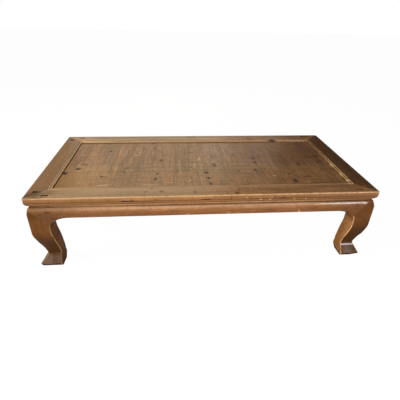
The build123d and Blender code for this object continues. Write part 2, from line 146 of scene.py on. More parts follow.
class KangTableColours(bpy.types.PropertyGroup):
    """Colours and wear of the wood, and colours for its painted light and shade."""

    frame_light: colour_prop("Frame, light", "Pale wood of the frame", srgb(182, 128, 76))
    frame_dark: colour_prop("Frame, dark", "Dark grain of the frame", srgb(130, 86, 46))
    panel_light: colour_prop("Panel, light", "Pale wood of the boards", srgb(170, 125, 78))
    panel_dark: colour_prop("Panel, dark", "Dark grain of the boards", srgb(104, 70, 36))
    apron_light: colour_prop("Apron, light", "Pale wood of the aprons", srgb(176, 120, 72))
    apron_dark: colour_prop("Apron, dark", "Dark grain of the aprons", srgb(126, 80, 42))
    leg_light: colour_prop("Leg, light", "Pale wood of the legs", srgb(126, 83, 42))
    leg_dark: colour_prop("Leg, dark", "Dark grain of the legs", srgb(90, 53, 21))
    # bare wood on rubbed edges; the aprons also use it for a painted highlight over the shoulder and the
    # waist
    worn_edge_and_highlight: colour_prop("Worn edge", "Bare wood where an edge is rubbed", srgb(204, 164, 120))
    # knots and stains, and also the colour that darkens the ends, partly as painted shade
    knot_and_shade: colour_prop("Knot", "Knots and stains", srgb(46, 29, 16))
    # painted sheen: laid over the rails' upper side, paler towards the left end where light is reflected
    top_sheen: colour_prop("Bleached top", "Sun-bleached wood of the frame's surface", srgb(172, 146, 112))
    # painted light and shade on the legs' inner sides: shaded on the left legs, lit on the right legs;
    # the pale one also flecks all the legs
    leg_shade: colour_prop("Leg, left inside", "Inner side of the left legs", srgb(122, 74, 28))
    leg_pale_and_lit: colour_prop("Leg, right inside", "Inner side of the right legs", srgb(150, 103, 61))
    amber: colour_prop("Amber streaks", "Warm streaks of old oil on the panel", srgb(184, 124, 66))
    # dust on top of the feet, with painted sheen where they face upwards
    foot_dust_and_sheen: colour_prop("Foot dust", "Grey-brown dust on the feet", srgb(104, 84, 66))
    # dirt in joints and quirks; also painted shade under the moulding, on the step above the panel, along
    # the panel's rim, under the waist and down the legs
    grime_and_shade: colour_prop("Grime", "Old dirt in joints and quirks", srgb(58, 34, 13))
    end_grain: colour_prop("End grain", "Ends of the tenons", srgb(56, 39, 26))
    batten: colour_prop("Battens", "Unfinished wood under the top", srgb(150, 112, 74))
    edge_wear: share_prop("Edge wear", "How far the edges are rubbed bare", 0.75)
    # darker towards the right end, partly aged wood and partly painted shade
    ageing_and_shade: share_prop("Ageing", "How much darker the right end has turned", 0.45)


# ---- helpers for shapes ------------------------------------------------------------------

SIDES = ("front", "right", "back", "left")
QUARTER_TURNS = {"front": 0, "right": 1, "back": 2, "left": 3}
CORNERS = {
    "front_left": (-1, -1),
    "front_right": (1, -1),
    "back_left": (-1, 1),
    "back_right": (1, 1),
}


def side_axis(side):
    """The table's axis that a side runs along."""
    return "X" if side in ("front", "back") else "Y"


def side_length(sizes, side):
    """How long a side of the top is."""
    return sizes.length if side_axis(side) == "X" else sizes.depth


def side_matrix(sizes, side):
    """From a side's own frame (along it, inset, height) to the table's frame."""
    across = sizes.depth if side_axis(side) == "X" else sizes.length
    turn = Matrix.Rotation(math.radians(90 * QUARTER_TURNS[side]), 4, "Z")
    return turn @ Matrix.Translation((0, -across / 2, 0))


def corner_matrix(sizes, corner):
    """From a corner's own frame (inset, inset, height) to the table's frame, mirrored as needed."""
    sign_x, sign_y = CORNERS[corner]
    place = Matrix.Translation((sign_x * sizes.length / 2, sign_y * sizes.depth / 2, 0))
    return place @ Matrix.Diagonal((-sign_x, -sign_y, 1, 1))


def outline_face(bm, points):
    """One face from a few corner points."""
    return bm.faces.new([bm.verts.new(point) for point in points])


def pull(bm, faces, move):
    """Extrudes faces by a vector and returns the new end faces. A lone face stays as the other end."""
    lone = all(len(edge.link_faces) == 1 for face in faces for edge in face.edges)
    made = bmesh.ops.extrude_face_region(bm, geom=faces)["geom"]
    verts = [item for item in made if isinstance(item, bmesh.types.BMVert)]
    bmesh.ops.translate(bm, verts=verts, vec=move)
    ends = [item for item in made if isinstance(item, bmesh.types.BMFace)]
    if not lone:
        bmesh.ops.delete(bm, geom=faces, context="FACES")
    return ends


def saw(bm, point, normal, keep_both=False):
    """Saws with a plane. The side of the normal falls off and the cut is closed, or both stay."""
    bmesh.ops.bisect_plane(
        bm,
        geom=[*bm.verts, *bm.edges, *bm.faces],
        dist=SAME_POINT,
        plane_co=point,
        plane_no=normal,
        clear_outer=not keep_both,
    )
    if not keep_both:
        rim = [edge for edge in bm.edges if edge.is_boundary]
        bmesh.ops.holes_fill(bm, edges=rim, sides=0)


def round_edges(bm, edges, radius, segments, wear=0.0):
    """Rounds edges, and marks how worn the rounding is."""
    layer = bm.verts.layers.float.get("wear") or bm.verts.layers.float.new("wear")
    made = bmesh.ops.bevel(
        bm,
        geom=list(edges),
        offset=radius,
        offset_type="OFFSET",
        segments=segments,
        profile=0.5,
        affect="EDGES",
        material=-1,
        clamp_overlap=True,
    )
    rounding = set(made["faces"])
    for vert in made["verts"]:
        inside = all(face in rounding for face in vert.link_faces)
        vert[layer] = wear if inside else 0.0


def close_up(bm):
    """Merges doubles and turns the faces outwards."""
    bmesh.ops.remove_doubles(bm, verts=bm.verts, dist=SAME_POINT)
    bmesh.ops.recalc_face_normals(bm, faces=bm.faces)


# dents: how worn a place must be to have them, how many coarse and fine ones in a metre, how
# deep either kind goes, and what is taken off so that some places stay whole
DENTED_FROM = 0.2
COARSE_DENTS = 23
FINE_DENTS = 90
COARSE_SHARE = 0.7
FINE_SHARE = 0.6
DENT_FLOOR = 0.05


def rub(bm, depth, seed):
    """Knocks small dents into the worn edges."""
    layer = bm.verts.layers.float.get("wear")
    bm.normal_update()
    offset = Vector((seed * 3.7, seed * 1.3, seed * 2.1))
    for vert in bm.verts:
        if layer is None or vert[layer] < DENTED_FROM:
            continue
        coarse = noise.noise(vert.co * COARSE_DENTS + offset)
        fine = noise.noise(vert.co * FINE_DENTS + offset)
        dent = max(0.0, coarse * COARSE_SHARE + fine * FINE_SHARE - DENT_FLOOR)
        vert.co -= vert.normal * depth * min(dent, 1.0) * vert[layer]


def place(bm, matrix):
    """Moves a finished shape to its place on the table, and keeps its faces outwards."""
    bm.transform(matrix)
    if matrix.determinant() < 0:
        bmesh.ops.reverse_faces(bm, faces=bm.faces)
    bm.normal_update()
    bmesh.ops.recalc_face_normals(bm, faces=bm.faces)


def add_piece(bm, name, material, replaced=()):
    """Turns a bmesh into a finished piece that rides with the table."""
    mesh = bpy.data.meshes.new(name)
    bm.to_mesh(mesh)
    bm.free()
    mesh.materials.append(material)
    mesh.shade_smooth()
    mesh.set_sharp_from_angle(angle=math.radians(SMOOTH_BELOW))
    piece = bpy.data.objects.new(name, mesh)
    bpy.context.collection.objects.link(piece)
    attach(piece, "root")
    if replaced:
        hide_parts(*replaced)


# ---- outlines of the pieces --------------------------------------------------------------

# rail, by the inset from its outer edge: the flat ends in a narrow groove, then a bead, a
# quirk and a ledge
BEAD_START = 92 * MM
BEAD_END = 98 * MM
BEAD_RADIUS = 2.9 * MM
FLAT_END = BEAD_START - 1 * MM
LEDGE_START = 100 * MM
LEDGE_DROP = 1.5 * MM
QUIRK_DEPTH = 3.5 * MM
# moulding under the rail's edge, from its foot upwards, in millimetres: (inset, below the top)
MOULDING = (
    (9.0, 46.0),
    (9.0, 43.5),
    (6.3, 40.8),
    (4.3, 38.7),
    (4.9, 37.9),
    (3.3, 36.8),
    (2.3, 33.0),
    (2.0, 29.0),
)

# rounded shoulder that the legs and the aprons share
BULGE_INSET = 1.0 * MM
BULGE_HEIGHT = 318.0 * MM
BULGE_RADIUS = 86.7 * MM
BULGE_TOP_INSET = 15.5 * MM

# legs, the same seen from the front and from the side
CUSP_INSET = 104.0 * MM
CUSP_HEIGHT = 266.0 * MM
FLARE_HEIGHT = 18.0 * MM
BLOCK_INSET = 118 * MM
SHOULDER_FOOT = 215 * MM
ANKLE_HEIGHT = 75.0 * MM
SOLE_OUTER = 9.0 * MM
TOE_OUTER = 6.0 * MM
TOE_HEIGHT = 12.0 * MM
TOE_DEPTH = 30 * MM
# height at which the bevel of a worn toe leaves its corner
TOE_CUT = TOE_HEIGHT - 2.5 * MM
# bevel under the heel: a point on it and the way it faces
HEEL_PLACE = (113 * MM, 113 * MM, 14 * MM)
HEEL_SLOPE = (1, 1, -2.2)
# outer and inner edge, in millimetres: (height, inset)
LEG_OUTSIDE = (
    (12.0, 6.0),
    (28.0, 16.5),
    (58.0, 35.0),
    (66.0, 38.6),
    (75.0, 38.0),
    (108.0, 29.0),
    (150.0, 13.5),
    (215.0, 1.0),
)
LEG_INSIDE = (
    (0.0, 116.5),
    (28.0, 111.5),
    (66.0, 110.0),
    (150.0, 102.5),
    (200.0, 97.0),
    (250.0, 98.0),
    (266.0, 104.0),
)
# heights of the rings of a leg, in millimetres, closest at the ankle
LEG_ROWS = (0, 3, 12, 16, 22, 28, 34, 40, 46, 52, 57, 60, 63, 66, 69, 72, 76, *range(81, 266, 5))

# upper end of the slanting seam between a leg and its aprons: (inset from the corner, height)
SEAM_TOPS = {
    "front_left": (6.7, 349.0),
    "front_right": (37.0, 360.0),
    "back_left": (12.0, 360.0),
    "back_right": (26.0, 360.0),
}

# radius to which each outer corner of the frame is worn, in millimetres
WORN_CORNERS = {"front_left": 5.0, "front_right": 4.0, "back_left": 12.0, "back_right": 24.0}

# the corners at the two ends of each side, lower end first
SIDE_CORNERS = {
    "front": ("front_left", "front_right"),
    "right": ("front_right", "back_right"),
    "back": ("back_right", "back_left"),
    "left": ("back_left", "front_left"),
}

# how far in each worn sole starts, along both its outer edges together, in millimetres
WORN_TOES = {"front_left": 20.0, "front_right": 70.0, "back_left": 40.0, "back_right": 34.0}

# how much wider each sole spreads than the plain foot, across its two directions
SOLE_SPREAD = {
    "front_left": (0.09, 0.09),
    "front_right": (0.0, 0.08),
    "back_left": (0.03, 0.02),
    "back_right": (0.02, 0.03),
}
SPREAD_HEIGHT = 40.0 * MM

# how far the outer side of each sole is drawn in at its far end, in millimetres
SOLE_TAPER = {"front_left": 10.0, "front_right": 0.0, "back_left": 3.0, "back_right": 2.0}

# height up to which the outer side of a leg is shifted
OUTER_SHIFT_HEIGHT = 200.0 * MM

# how far each ankle is shifted inwards along the table's length, in millimetres:
# (at its outer side, at its inner side), so that unlike values make it thicker
ANKLE_LEAN = {
    "front_left": (4.0, 6.0),
    "front_right": (-1.0, 0.0),
    "back_left": (2.0, 2.0),
    "back_right": (1.0, 1.0),
}

# how much lower each ankle sits than the plain one, in millimetres: (outer side, inner side)
ANKLE_DROP = {
    "front_left": (14.0, 4.0),
    "front_right": (2.0, 0.0),
    "back_left": (1.0, 1.0),
    "back_right": (2.0, 2.0),
}

# apron: curved spandrel at each end, heights of its rows in millimetres, step along it
SPANDREL_RUN = 101.0 * MM
SPANDREL_LEAD = 24.0 * MM
SPANDREL_SWEEP = 50.0 * MM
SPANDREL_STEPS = 16
APRON_ROWS = (*range(272, 318, 8), *range(320, 366, 4))
APRON_STEP = 0.03

# turn of an edge, in radians, from which it counts as an arris
APRON_ARRIS_ANGLE = 0.6
LEG_ARRIS_ANGLE = 0.8

# deepest dents in a worn edge, and the step along a rail at which they are set
RAIL_DENT = 1.6 * MM
SMALL_DENT = 1.2 * MM
RAIL_STEP = 0.014
MITRE_SLACK = 0.15 * MM
# turns of the cuts that round a corner up to its mitre, in degrees
CORNER_CUTS = (15, 30, 45)

# waist: thickness, and how deep it is hollowed in the middle and rounded at its edges
WAIST_DEPTH = 20 * MM
WAIST_HOLLOW = 0.5 * MM
WAIST_ROUND = 0.3 * MM

# board: half the gap at a seam, rounding, cuts along and across, and its tongue
SEAM_GAP = 0.05 * MM
BOARD_ROUND = 0.3 * MM
BOARD_CUTS = (24, 8)
TONGUE_TOP = 8.0 * MM
TONGUE_FOOT = 15.5 * MM
TONGUE_REACH = 10.8 * MM
# how its face has sunk: hollow in the middle, ripples in a metre and their depth, and all over
BOARD_HOLLOW = 0.45 * MM
BOARD_RIPPLES = 9
BOARD_RIPPLE = 0.25 * MM
BOARD_SINK = 0.1 * MM

# tenon ends of a leg in the frame, at a corner: (inset from the end, inset from the long edge)
LONG_RAIL_TENON = ((80.0, 116.0), (22.0, 36.0))
SHORT_RAIL_TENON = ((28.0, 52.0), (56.0, 80.0))
TENON_SINK = 0.3 * MM
TENON_STUB = 2.2 * MM
TENON_ROUND = 0.7 * MM
SOCKET_SLACK = 0.3 * MM
SOCKET_DEPTH = 2.5 * MM
# how far past a socket's ends the flat is cut with it
SOCKET_MARGIN = 0.05


def hermite(points, slopes, height):
    """Smooth curve through (height, inset) points."""
    low = max(i for i in range(len(points) - 1) if height >= points[i][0] or i == 0)
    (z0, i0), (z1, i1) = points[low], points[low + 1]
    run = z1 - z0
    s = (height - z0) / run
    near = (2 * s**3 - 3 * s**2 + 1) * i0 + (s**3 - 2 * s**2 + s) * run * slopes[low]
    far = (3 * s**2 - 2 * s**3) * i1 + (s**3 - s**2) * run * slopes[low + 1]
    return near + far


def slopes_of(points, first, last):
    """Slope at each point, with the two ends given."""
    slopes = [first]
    for before, after in zip(points[:-2], points[2:]):
        slopes.append((after[1] - before[1]) / (after[0] - before[0]))
    return slopes + [last]


def bulge(height):
    """Inset of the bulging face that the aprons and the shoulders share."""
    rise = max(0.0, height - BULGE_HEIGHT)
    return BULGE_INSET + BULGE_RADIUS - math.sqrt(BULGE_RADIUS**2 - rise**2)


def leg_outer(height):
    """Outer inset of a leg at a height."""
    if height >= SHOULDER_FOOT:
        return bulge(height)
    if height <= TOE_HEIGHT:
        return SOLE_OUTER + (TOE_OUTER - SOLE_OUTER) * height / TOE_HEIGHT
    return hermite(LEG_OUTSIDE, slopes_of(LEG_OUTSIDE, 1.0, 0.0), height / MM) * MM


def leg_inner(height):
    """Inner inset of a leg at a height."""
    if height >= CUSP_HEIGHT:
        rise = min(1.0, (height - CUSP_HEIGHT) / FLARE_HEIGHT)
        return CUSP_INSET + rise * (BLOCK_INSET - CUSP_INSET)
    return hermite(LEG_INSIDE, slopes_of(LEG_INSIDE, -1.0, 1.0), height / MM) * MM


# ---- pieces ------------------------------------------------------------------------------


def level(edge, height):
    """Whether an edge lies flat at one height."""
    return all(abs(vert.co.z - height) < SAME_LINE for vert in edge.verts)


def long_edges(bm, inset, height):
    """Edges that run along a side at one place of its section."""
    found = []
    for edge in bm.edges:
        ends = [vert.co for vert in edge.verts]
        if abs(ends[0].x - ends[1].x) < SAME_LINE:
            continue
        if level(edge, height) and all(abs(end.y - inset) < SAME_LINE for end in ends):
            found.append(edge)
    return found


def pulled_section(section, half):
    """A straight length of a section given as (inset, height), half of it on either side."""
    bm = bmesh.new()
    face = outline_face(bm, [(-half, inset, height) for inset, height in section])
    pull(bm, [face], (2 * half, 0, 0))
    close_up(bm)
    return bm


def score(bm, axis, places):
    """Cuts a shape through at several places along an axis, and keeps all of it."""
    normal = Vector([float(axis == name) for name in "XYZ"])
    for place in places:
        saw(bm, normal * place, normal, keep_both=True)


def mitre(bm, reach):
    """Saws both ends at 45 degrees, from a reach along the outer edge."""
    for end in (-1, 1):
        saw(bm, Vector((end * reach, 0, 0)), Vector((end, 1, 0)).normalized())


def round_corner(bm, tip, radius):
    """Rounds a rail's half of the frame's corner, up to the mitre."""
    outwards = math.copysign(1, tip)
    centre = Vector((tip - outwards * radius, radius, 0))
    for degrees in CORNER_CUTS:
        turn = math.radians(degrees)
        normal = Vector((outwards * math.sin(turn), -math.cos(turn), 0))
        saw(bm, centre + normal * radius, normal)


def build_rail(sizes, side):
    """A mitred rail of the frame: moulded edge, wide flat, round bead and ledge."""
    half = side_length(sizes, side) / 2
    top = sizes.height
    ledge = top - LEDGE_DROP
    sunk = top - QUIRK_DEPTH
    band_foot = top - sizes.band_height
    section = [
        (0.0, band_foot),
        (0.0, top),
        (FLAT_END, top),
        (FLAT_END, sunk),
        (BEAD_START, sunk),
        (BEAD_START, top),
        (BEAD_END, top),
        (BEAD_END, sunk),
        (LEDGE_START, sunk),
        (LEDGE_START, ledge),
        (sizes.rail_width, ledge),
        (sizes.rail_width, top - sizes.rail_thickness),
    ]
    section += [(inset * MM, top - drop * MM) for inset, drop in MOULDING]
    bm = pulled_section(section, half)
    # (inset, height, radius, segments, wear)
    roundings = (
        (0.0, top, sizes.arris_round, 4, 1.0),
        (0.0, band_foot, 1.2 * MM, 2, 0.35),
        (sizes.rail_width, ledge, 2.4 * MM, 3, 0.7),
        (LEDGE_START, ledge, 0.7 * MM, 2, 0.6),
        (FLAT_END, top, 0.5 * MM, 1, 0.3),
    )
    for inset, height, radius, segments, wear in roundings:
        round_edges(bm, long_edges(bm, inset, height), radius, segments, wear)
    bead = long_edges(bm, BEAD_START, top) + long_edges(bm, BEAD_END, top)
    round_edges(bm, bead, BEAD_RADIUS, 4, wear=0.8)
    runs = [edge for edge in bm.edges if abs(edge.verts[0].co.x - edge.verts[1].co.x) > half]
    cuts = int(half * 2 / RAIL_STEP)
    bmesh.ops.subdivide_edges(bm, edges=runs, cuts=cuts, use_grid_fill=True)
    rub(bm, RAIL_DENT, QUARTER_TURNS[side])
    mitre(bm, half - MITRE_SLACK)
    for end, corner in zip((-1, 1), SIDE_CORNERS[side]):
        round_corner(bm, end * half, WORN_CORNERS[corner] * MM)
    close_up(bm)
    cut_sockets(bm, sizes, side, half)
    place(bm, side_matrix(sizes, side))
    return bm


def flat_faces(bm, height, along, across):
    """Faces of a rail's flat whose middles lie between two places along it and two across it."""
    found = []
    for face in bm.faces:
        middle = face.calc_center_median()
        inside = along[0] < middle.x < along[1] and across[0] < middle.y < across[1]
        if inside and face.normal.z > LOOKS_ALONG and middle.z > height - 0.5 * MM:
            found.append(face)
    return found


def cut_sockets(bm, sizes, side, half):
    """Shallow sockets in a rail's flat, one near each end, where the ends of the leg tenons show."""
    if side_axis(side) == "X":
        (low, high), (near, far) = LONG_RAIL_TENON
    else:
        (near, far), (low, high) = SHORT_RAIL_TENON
    for end in (-1, 1):
        ends = (half - low * MM + SOCKET_SLACK, half - high * MM - SOCKET_SLACK)
        along = sorted(end * reach for reach in ends)
        across = (near * MM - SOCKET_SLACK, far * MM + SOCKET_SLACK)
        nearby = (along[0] - SOCKET_MARGIN, along[1] + SOCKET_MARGIN)
        region = flat_faces(bm, sizes.height, nearby, (0.0, FLAT_END))
        for place in along:
            region = saw_flat(bm, region, (place, 0, 0), (1, 0, 0))
        for place in across:
            region = saw_flat(bm, region, (0, place, 0), (0, 1, 0))
        pull(bm, flat_faces(bm, sizes.height, along, across), (0, 0, -SOCKET_DEPTH))


def saw_flat(bm, region, point, normal):
    """Cuts a line across some faces of the flat, and returns the faces that it makes of them."""
    live = [face for face in region if face.is_valid]
    parts = dict.fromkeys(part for face in live for part in (face, *face.edges, *face.verts))
    made = bmesh.ops.bisect_plane(
        bm, geom=list(parts), dist=SAME_POINT, plane_co=point, plane_no=normal
    )
    return [item for item in made["geom"] if isinstance(item, bmesh.types.BMFace)]


def build_board(sizes, seams, seed):
    """A board of the panel with its tongues, between two lines across the table."""
    reach = sizes.length / 2 - sizes.rail_width - sizes.panel_gap
    edge = sizes.depth / 2 - sizes.rail_width - sizes.panel_gap
    front, back = max(seams[0] + SEAM_GAP, -edge), min(seams[1] - SEAM_GAP, edge)
    top = sizes.height - sizes.panel_drop
    bottom = top - sizes.board_thickness
    bm = bmesh.new()
    bmesh.ops.create_cube(bm, size=1.0)
    bmesh.ops.scale(bm, verts=bm.verts, vec=(2 * reach, back - front, top - bottom))
    middle = (0, (front + back) / 2, (top + bottom) / 2)
    bmesh.ops.translate(bm, verts=bm.verts, vec=middle)
    score(bm, "Z", (top - TONGUE_TOP, top - TONGUE_FOOT))
    outer = [Vector((-1, 0, 0)), Vector((1, 0, 0))]
    if front <= -edge + SAME_POINT:
        outer.append(Vector((0, -1, 0)))
    if back >= edge - SAME_POINT:
        outer.append(Vector((0, 1, 0)))
    for direction in outer:
        pull_tongue(bm, direction, top)
    close_up(bm)
    round_edges(bm, [edge for edge in bm.edges if level(edge, top)], BOARD_ROUND, 1)
    long_cuts, cross_cuts = BOARD_CUTS
    score(bm, "X", [-reach + 2 * reach * step / long_cuts for step in range(1, long_cuts)])
    score(bm, "Y", [front + (back - front) * step / cross_cuts for step in range(1, cross_cuts)])
    for vert in bm.verts:
        if vert.co.z > top - 1.2 * MM:
            share = (vert.co.y - front) / (back - front) * 2 - 1
            hollow = BOARD_HOLLOW * (1 - share**2)
            ripple = BOARD_RIPPLE * noise.noise(vert.co * BOARD_RIPPLES + Vector((seed, 0, 0)))
            vert.co.z -= hollow + ripple + BOARD_SINK
    return bm


def pull_tongue(bm, direction, top):
    """Pulls out the middle of a board's edge into a tongue."""
    bm.normal_update()
    tongue = []
    for face in bm.faces:
        drop = top - face.calc_center_median().z
        if face.normal.dot(direction) > LOOKS_ALONG and TONGUE_TOP < drop < TONGUE_FOOT:
            tongue.append(face)
    pull(bm, tongue, direction * TONGUE_REACH)


def build_waist(sizes, side):
    """A waist strip between two legs, very slightly hollow."""
    half = side_length(sizes, side) / 2 - sizes.leg_block
    top = sizes.height - sizes.rail_thickness
    inset, tall = sizes.waist_inset, sizes.waist_height
    section = (
        (inset + WAIST_ROUND, top - tall),
        (inset, top - tall * 0.85),
        (inset + WAIST_HOLLOW, top - tall * 0.5),
        (inset, top - tall * 0.15),
        (inset + WAIST_ROUND, top),
        (inset + WAIST_DEPTH, top),
        (inset + WAIST_DEPTH, top - tall),
    )
    bm = pulled_section(section, half)
    place(bm, side_matrix(sizes, side))
    return bm


def seam_line(corner):
    """Upper end and fall of the seam between a leg and its aprons."""
    inset, height = (value * MM for value in SEAM_TOPS[corner])
    fall = (height - CUSP_HEIGHT) / (CUSP_INSET - inset)
    return inset, height, fall


def apron_end(sizes, half, corner):
    """Elevation of one half of an apron: mitred seam, curve at the leg. (along, height)"""
    top = sizes.height - sizes.rail_thickness - sizes.waist_height
    foot = top - sizes.apron_height
    inset, height, fall = seam_line(corner)
    cusp = half - CUSP_INSET
    curve_end = cusp - SPANDREL_RUN
    curve = [
        Vector((cusp, CUSP_HEIGHT)),
        Vector((cusp - SPANDREL_LEAD, CUSP_HEIGHT + SPANDREL_LEAD)),
        Vector((curve_end + SPANDREL_SWEEP, foot)),
        Vector((curve_end, foot)),
    ]
    points = [(half - inset, top)]
    if height < top - 1 * MM:
        points = [(half, top), (half, height + fall * inset)]
    for step in range(SPANDREL_STEPS + 1):
        s = step / SPANDREL_STEPS
        weights = ((1 - s) ** 3, 3 * s * (1 - s) ** 2, 3 * s**2 * (1 - s), s**3)
        point = sum((w * p for w, p in zip(weights, curve)), Vector((0, 0)))
        points.append((point.x, point.y))
    return points


def apron_outline(sizes, side, half):
    """Elevation of a whole apron, from its upper end round to the other."""
    start, finish = (apron_end(sizes, half, corner) for corner in SIDE_CORNERS[side])
    return finish + [(-along, height) for along, height in reversed(start)]


def build_apron(sizes, side):
    """A bulging apron whose mitred ends lap over the legs."""
    half = side_length(sizes, side) / 2
    top = sizes.height - sizes.rail_thickness - sizes.waist_height
    lap = sizes.waist_inset
    bm = bmesh.new()
    outline = apron_outline(sizes, side, half)
    face = outline_face(bm, [(along, 0, height) for along, height in outline])
    pull(bm, [face], (0, lap, 0))
    close_up(bm)
    reach = half - sizes.leg_block
    score(bm, "X", (-reach, reach))
    bm.normal_update()
    backs = []
    for face in bm.faces:
        middle = face.calc_center_median()
        behind = face.normal.y > LOOKS_ALONG and abs(middle.y - lap) < SAME_LINE
        if behind and abs(middle.x) < reach:
            backs.append(face)
    pull(bm, backs, (0, sizes.apron_back - lap, 0))
    close_up(bm)
    score(bm, "Z", [height * MM for height in APRON_ROWS])
    for vert in bm.verts:
        if abs(vert.co.y) < SAME_POINT:
            vert.co.y = bulge(vert.co.z)
    round_edges(bm, lower_arris(bm, half, top), 3.0 * MM, 3, wear=0.8)
    score(bm, "X", [-half + step * APRON_STEP for step in range(1, int(half * 2 / APRON_STEP))])
    rub(bm, SMALL_DENT, 5 + QUARTER_TURNS[side])
    mitre(bm, half)
    close_up(bm)
    place(bm, side_matrix(sizes, side))
    return bm


def lower_arris(bm, half, top):
    """Edges along the lower side of an apron's face, between the two cusps."""
    bm.normal_update()
    found = []
    for edge in bm.edges:
        if len(edge.link_faces) != 2 or edge.calc_face_angle() < APRON_ARRIS_ANGLE:
            continue
        if any(vert.co.y > BULGE_TOP_INSET + 0.1 * MM for vert in edge.verts):
            continue
        middle = (edge.verts[0].co + edge.verts[1].co) / 2
        if middle.z <= top - SAME_LINE and abs(middle.x) <= half - CUSP_INSET - SAME_LINE:
            found.append(edge)
    return found


def ring_stack(bm, heights, outer, inner):
    """A square post made upwards ring by ring, from its outer and inner insets."""
    low = heights[0]
    corners = ((outer(low), outer(low)), (inner(low), outer(low)))
    corners += ((inner(low), inner(low)), (outer(low), inner(low)))
    end = [outline_face(bm, [(x, y, low) for x, y in corners])]
    for height in heights[1:]:
        insets = [vert.co.x for vert in end[0].verts]
        middle = (min(insets) + max(insets)) / 2
        end = pull(bm, end, (0, 0, height - end[0].verts[0].co.z))
        for vert in end[0].verts:
            vert.co.x = (inner if vert.co.x > middle else outer)(height)
            vert.co.y = (inner if vert.co.y > middle else outer)(height)


def between(value, low, high):
    """Share of the way from low to high, from none to all."""
    return min(1.0, max(0.0, (value - low) / (high - low)))


def swell(height, end):
    """Rises from nothing at the floor to one halfway, and is nothing again at the end."""
    return max(0.0, math.sin(math.pi * min(1.0, height / end)))


def lean_and_spread(bm, corner):
    """Makes each hand-cut leg a little different: the ankle shifts, the sole spreads."""
    middle = (leg_outer(0.0) + leg_inner(0.0)) / 2
    outer_lean, inner_lean = ANKLE_LEAN[corner]
    outer_drop, inner_drop = ANKLE_DROP[corner]
    spread_x, spread_y = SOLE_SPREAD[corner]
    for vert in bm.verts:
        height = vert.co.z
        outer, inner = leg_outer(height), leg_inner(height)
        across = between(vert.co.x, outer, inner)
        low_lean, lean = swell(height, OUTER_SHIFT_HEIGHT), swell(height, CUSP_HEIGHT)
        vert.co.x += (outer_lean * low_lean * (1 - across) + inner_lean * lean * across) * MM
        drop = swell(height, 2 * ANKLE_HEIGHT)
        vert.co.z -= (outer_drop * drop**2 * (1 - across) + inner_drop * drop * across) * MM
        share = max(0.0, 1.0 - height / SPREAD_HEIGHT)
        far = between(vert.co.y, outer, inner)
        vert.co.x += SOLE_TAPER[corner] * MM * far * (1 - across) * share
        vert.co.x += (vert.co.x - middle) * spread_x * share
        vert.co.y += (vert.co.y - middle) * spread_y * share


def round_leg(bm, sizes):
    """Rounds the four upright edges of a leg, and the upper edge of its toe."""
    bm.normal_update()
    arrises = []
    for edge in bm.edges:
        rise = abs(edge.verts[0].co.z - edge.verts[1].co.z)
        if rise > 1 * MM and edge.calc_face_angle() > LEG_ARRIS_ANGLE:
            arrises.append(edge)
    round_edges(bm, arrises, sizes.leg_arris, 3, wear=0.9)
    toe = []
    for edge in bm.edges:
        in_front = all(min(vert.co.x, vert.co.y) < TOE_DEPTH for vert in edge.verts)
        if in_front and level(edge, TOE_HEIGHT):
            toe.append(edge)
    round_edges(bm, toe, 1.2 * MM, 2, wear=0.8)


def build_leg(sizes, corner):
    """A three-bend leg with a kicked foot, mitred under the aprons, on a square block."""
    block_top = sizes.height - sizes.rail_thickness
    heights = [height * MM for height in LEG_ROWS]
    heights += [CUSP_HEIGHT + step * 5 * MM for step in range(19)]
    heights += [block_top - sizes.waist_height]
    bm = bmesh.new()
    ring_stack(bm, heights, leg_outer, leg_inner)
    close_up(bm)
    round_leg(bm, sizes)
    lean_and_spread(bm, corner)
    toe_slope = -(WORN_TOES[corner] * MM - 2 * TOE_OUTER) / TOE_HEIGHT
    saw(bm, (TOE_OUTER, TOE_OUTER, TOE_CUT), (-1, -1, toe_slope))
    saw(bm, HEEL_PLACE, HEEL_SLOPE)
    close_up(bm)
    rub(bm, SMALL_DENT, 11 + sum(CORNERS[corner]))
    inset, height, fall = seam_line(corner)
    shoulder = Vector((inset, inset, height - 0.1 * MM))
    saw(bm, shoulder, Vector((fall, 0, 1)).normalized())
    saw(bm, shoulder, Vector((0, fall, 1)).normalized())
    close_up(bm)
    levels = [CUSP_HEIGHT, CUSP_HEIGHT + FLARE_HEIGHT, block_top]
    ring_stack(bm, levels, lambda height: sizes.waist_inset, leg_inner)
    close_up(bm)
    place(bm, corner_matrix(sizes, corner))
    return bm


def build_tenon_ends(sizes, corner):
    """The two end-grain faces of a leg's through tenons, just below the frame's surface."""
    bm = bmesh.new()
    top = sizes.height - TENON_SINK
    for (low, high), (near, far) in (LONG_RAIL_TENON, SHORT_RAIL_TENON):
        block = bmesh.ops.create_cube(bm, size=1.0)["verts"]
        extent = ((high - low) * MM, (far - near) * MM, TENON_STUB)
        bmesh.ops.scale(bm, verts=block, vec=extent)
        middle = ((low + high) / 2 * MM, (near + far) / 2 * MM, top - TENON_STUB / 2)
        bmesh.ops.translate(bm, verts=block, vec=middle)
    round_edges(bm, [edge for edge in bm.edges if level(edge, top)], TENON_ROUND, 2)
    place(bm, corner_matrix(sizes, corner))
    return bm


# ---- finishes ----------------------------------------------------------------------------


def join(tree, socket, value):
    """Links a value to a socket, or sets a plain number, vector or colour."""
    if isinstance(value, Value):
        tree.links.new(value.socket, socket)
    elif socket.type == "RGBA":
        socket.default_value = (*value, 1.0)
    else:
        socket.default_value = value


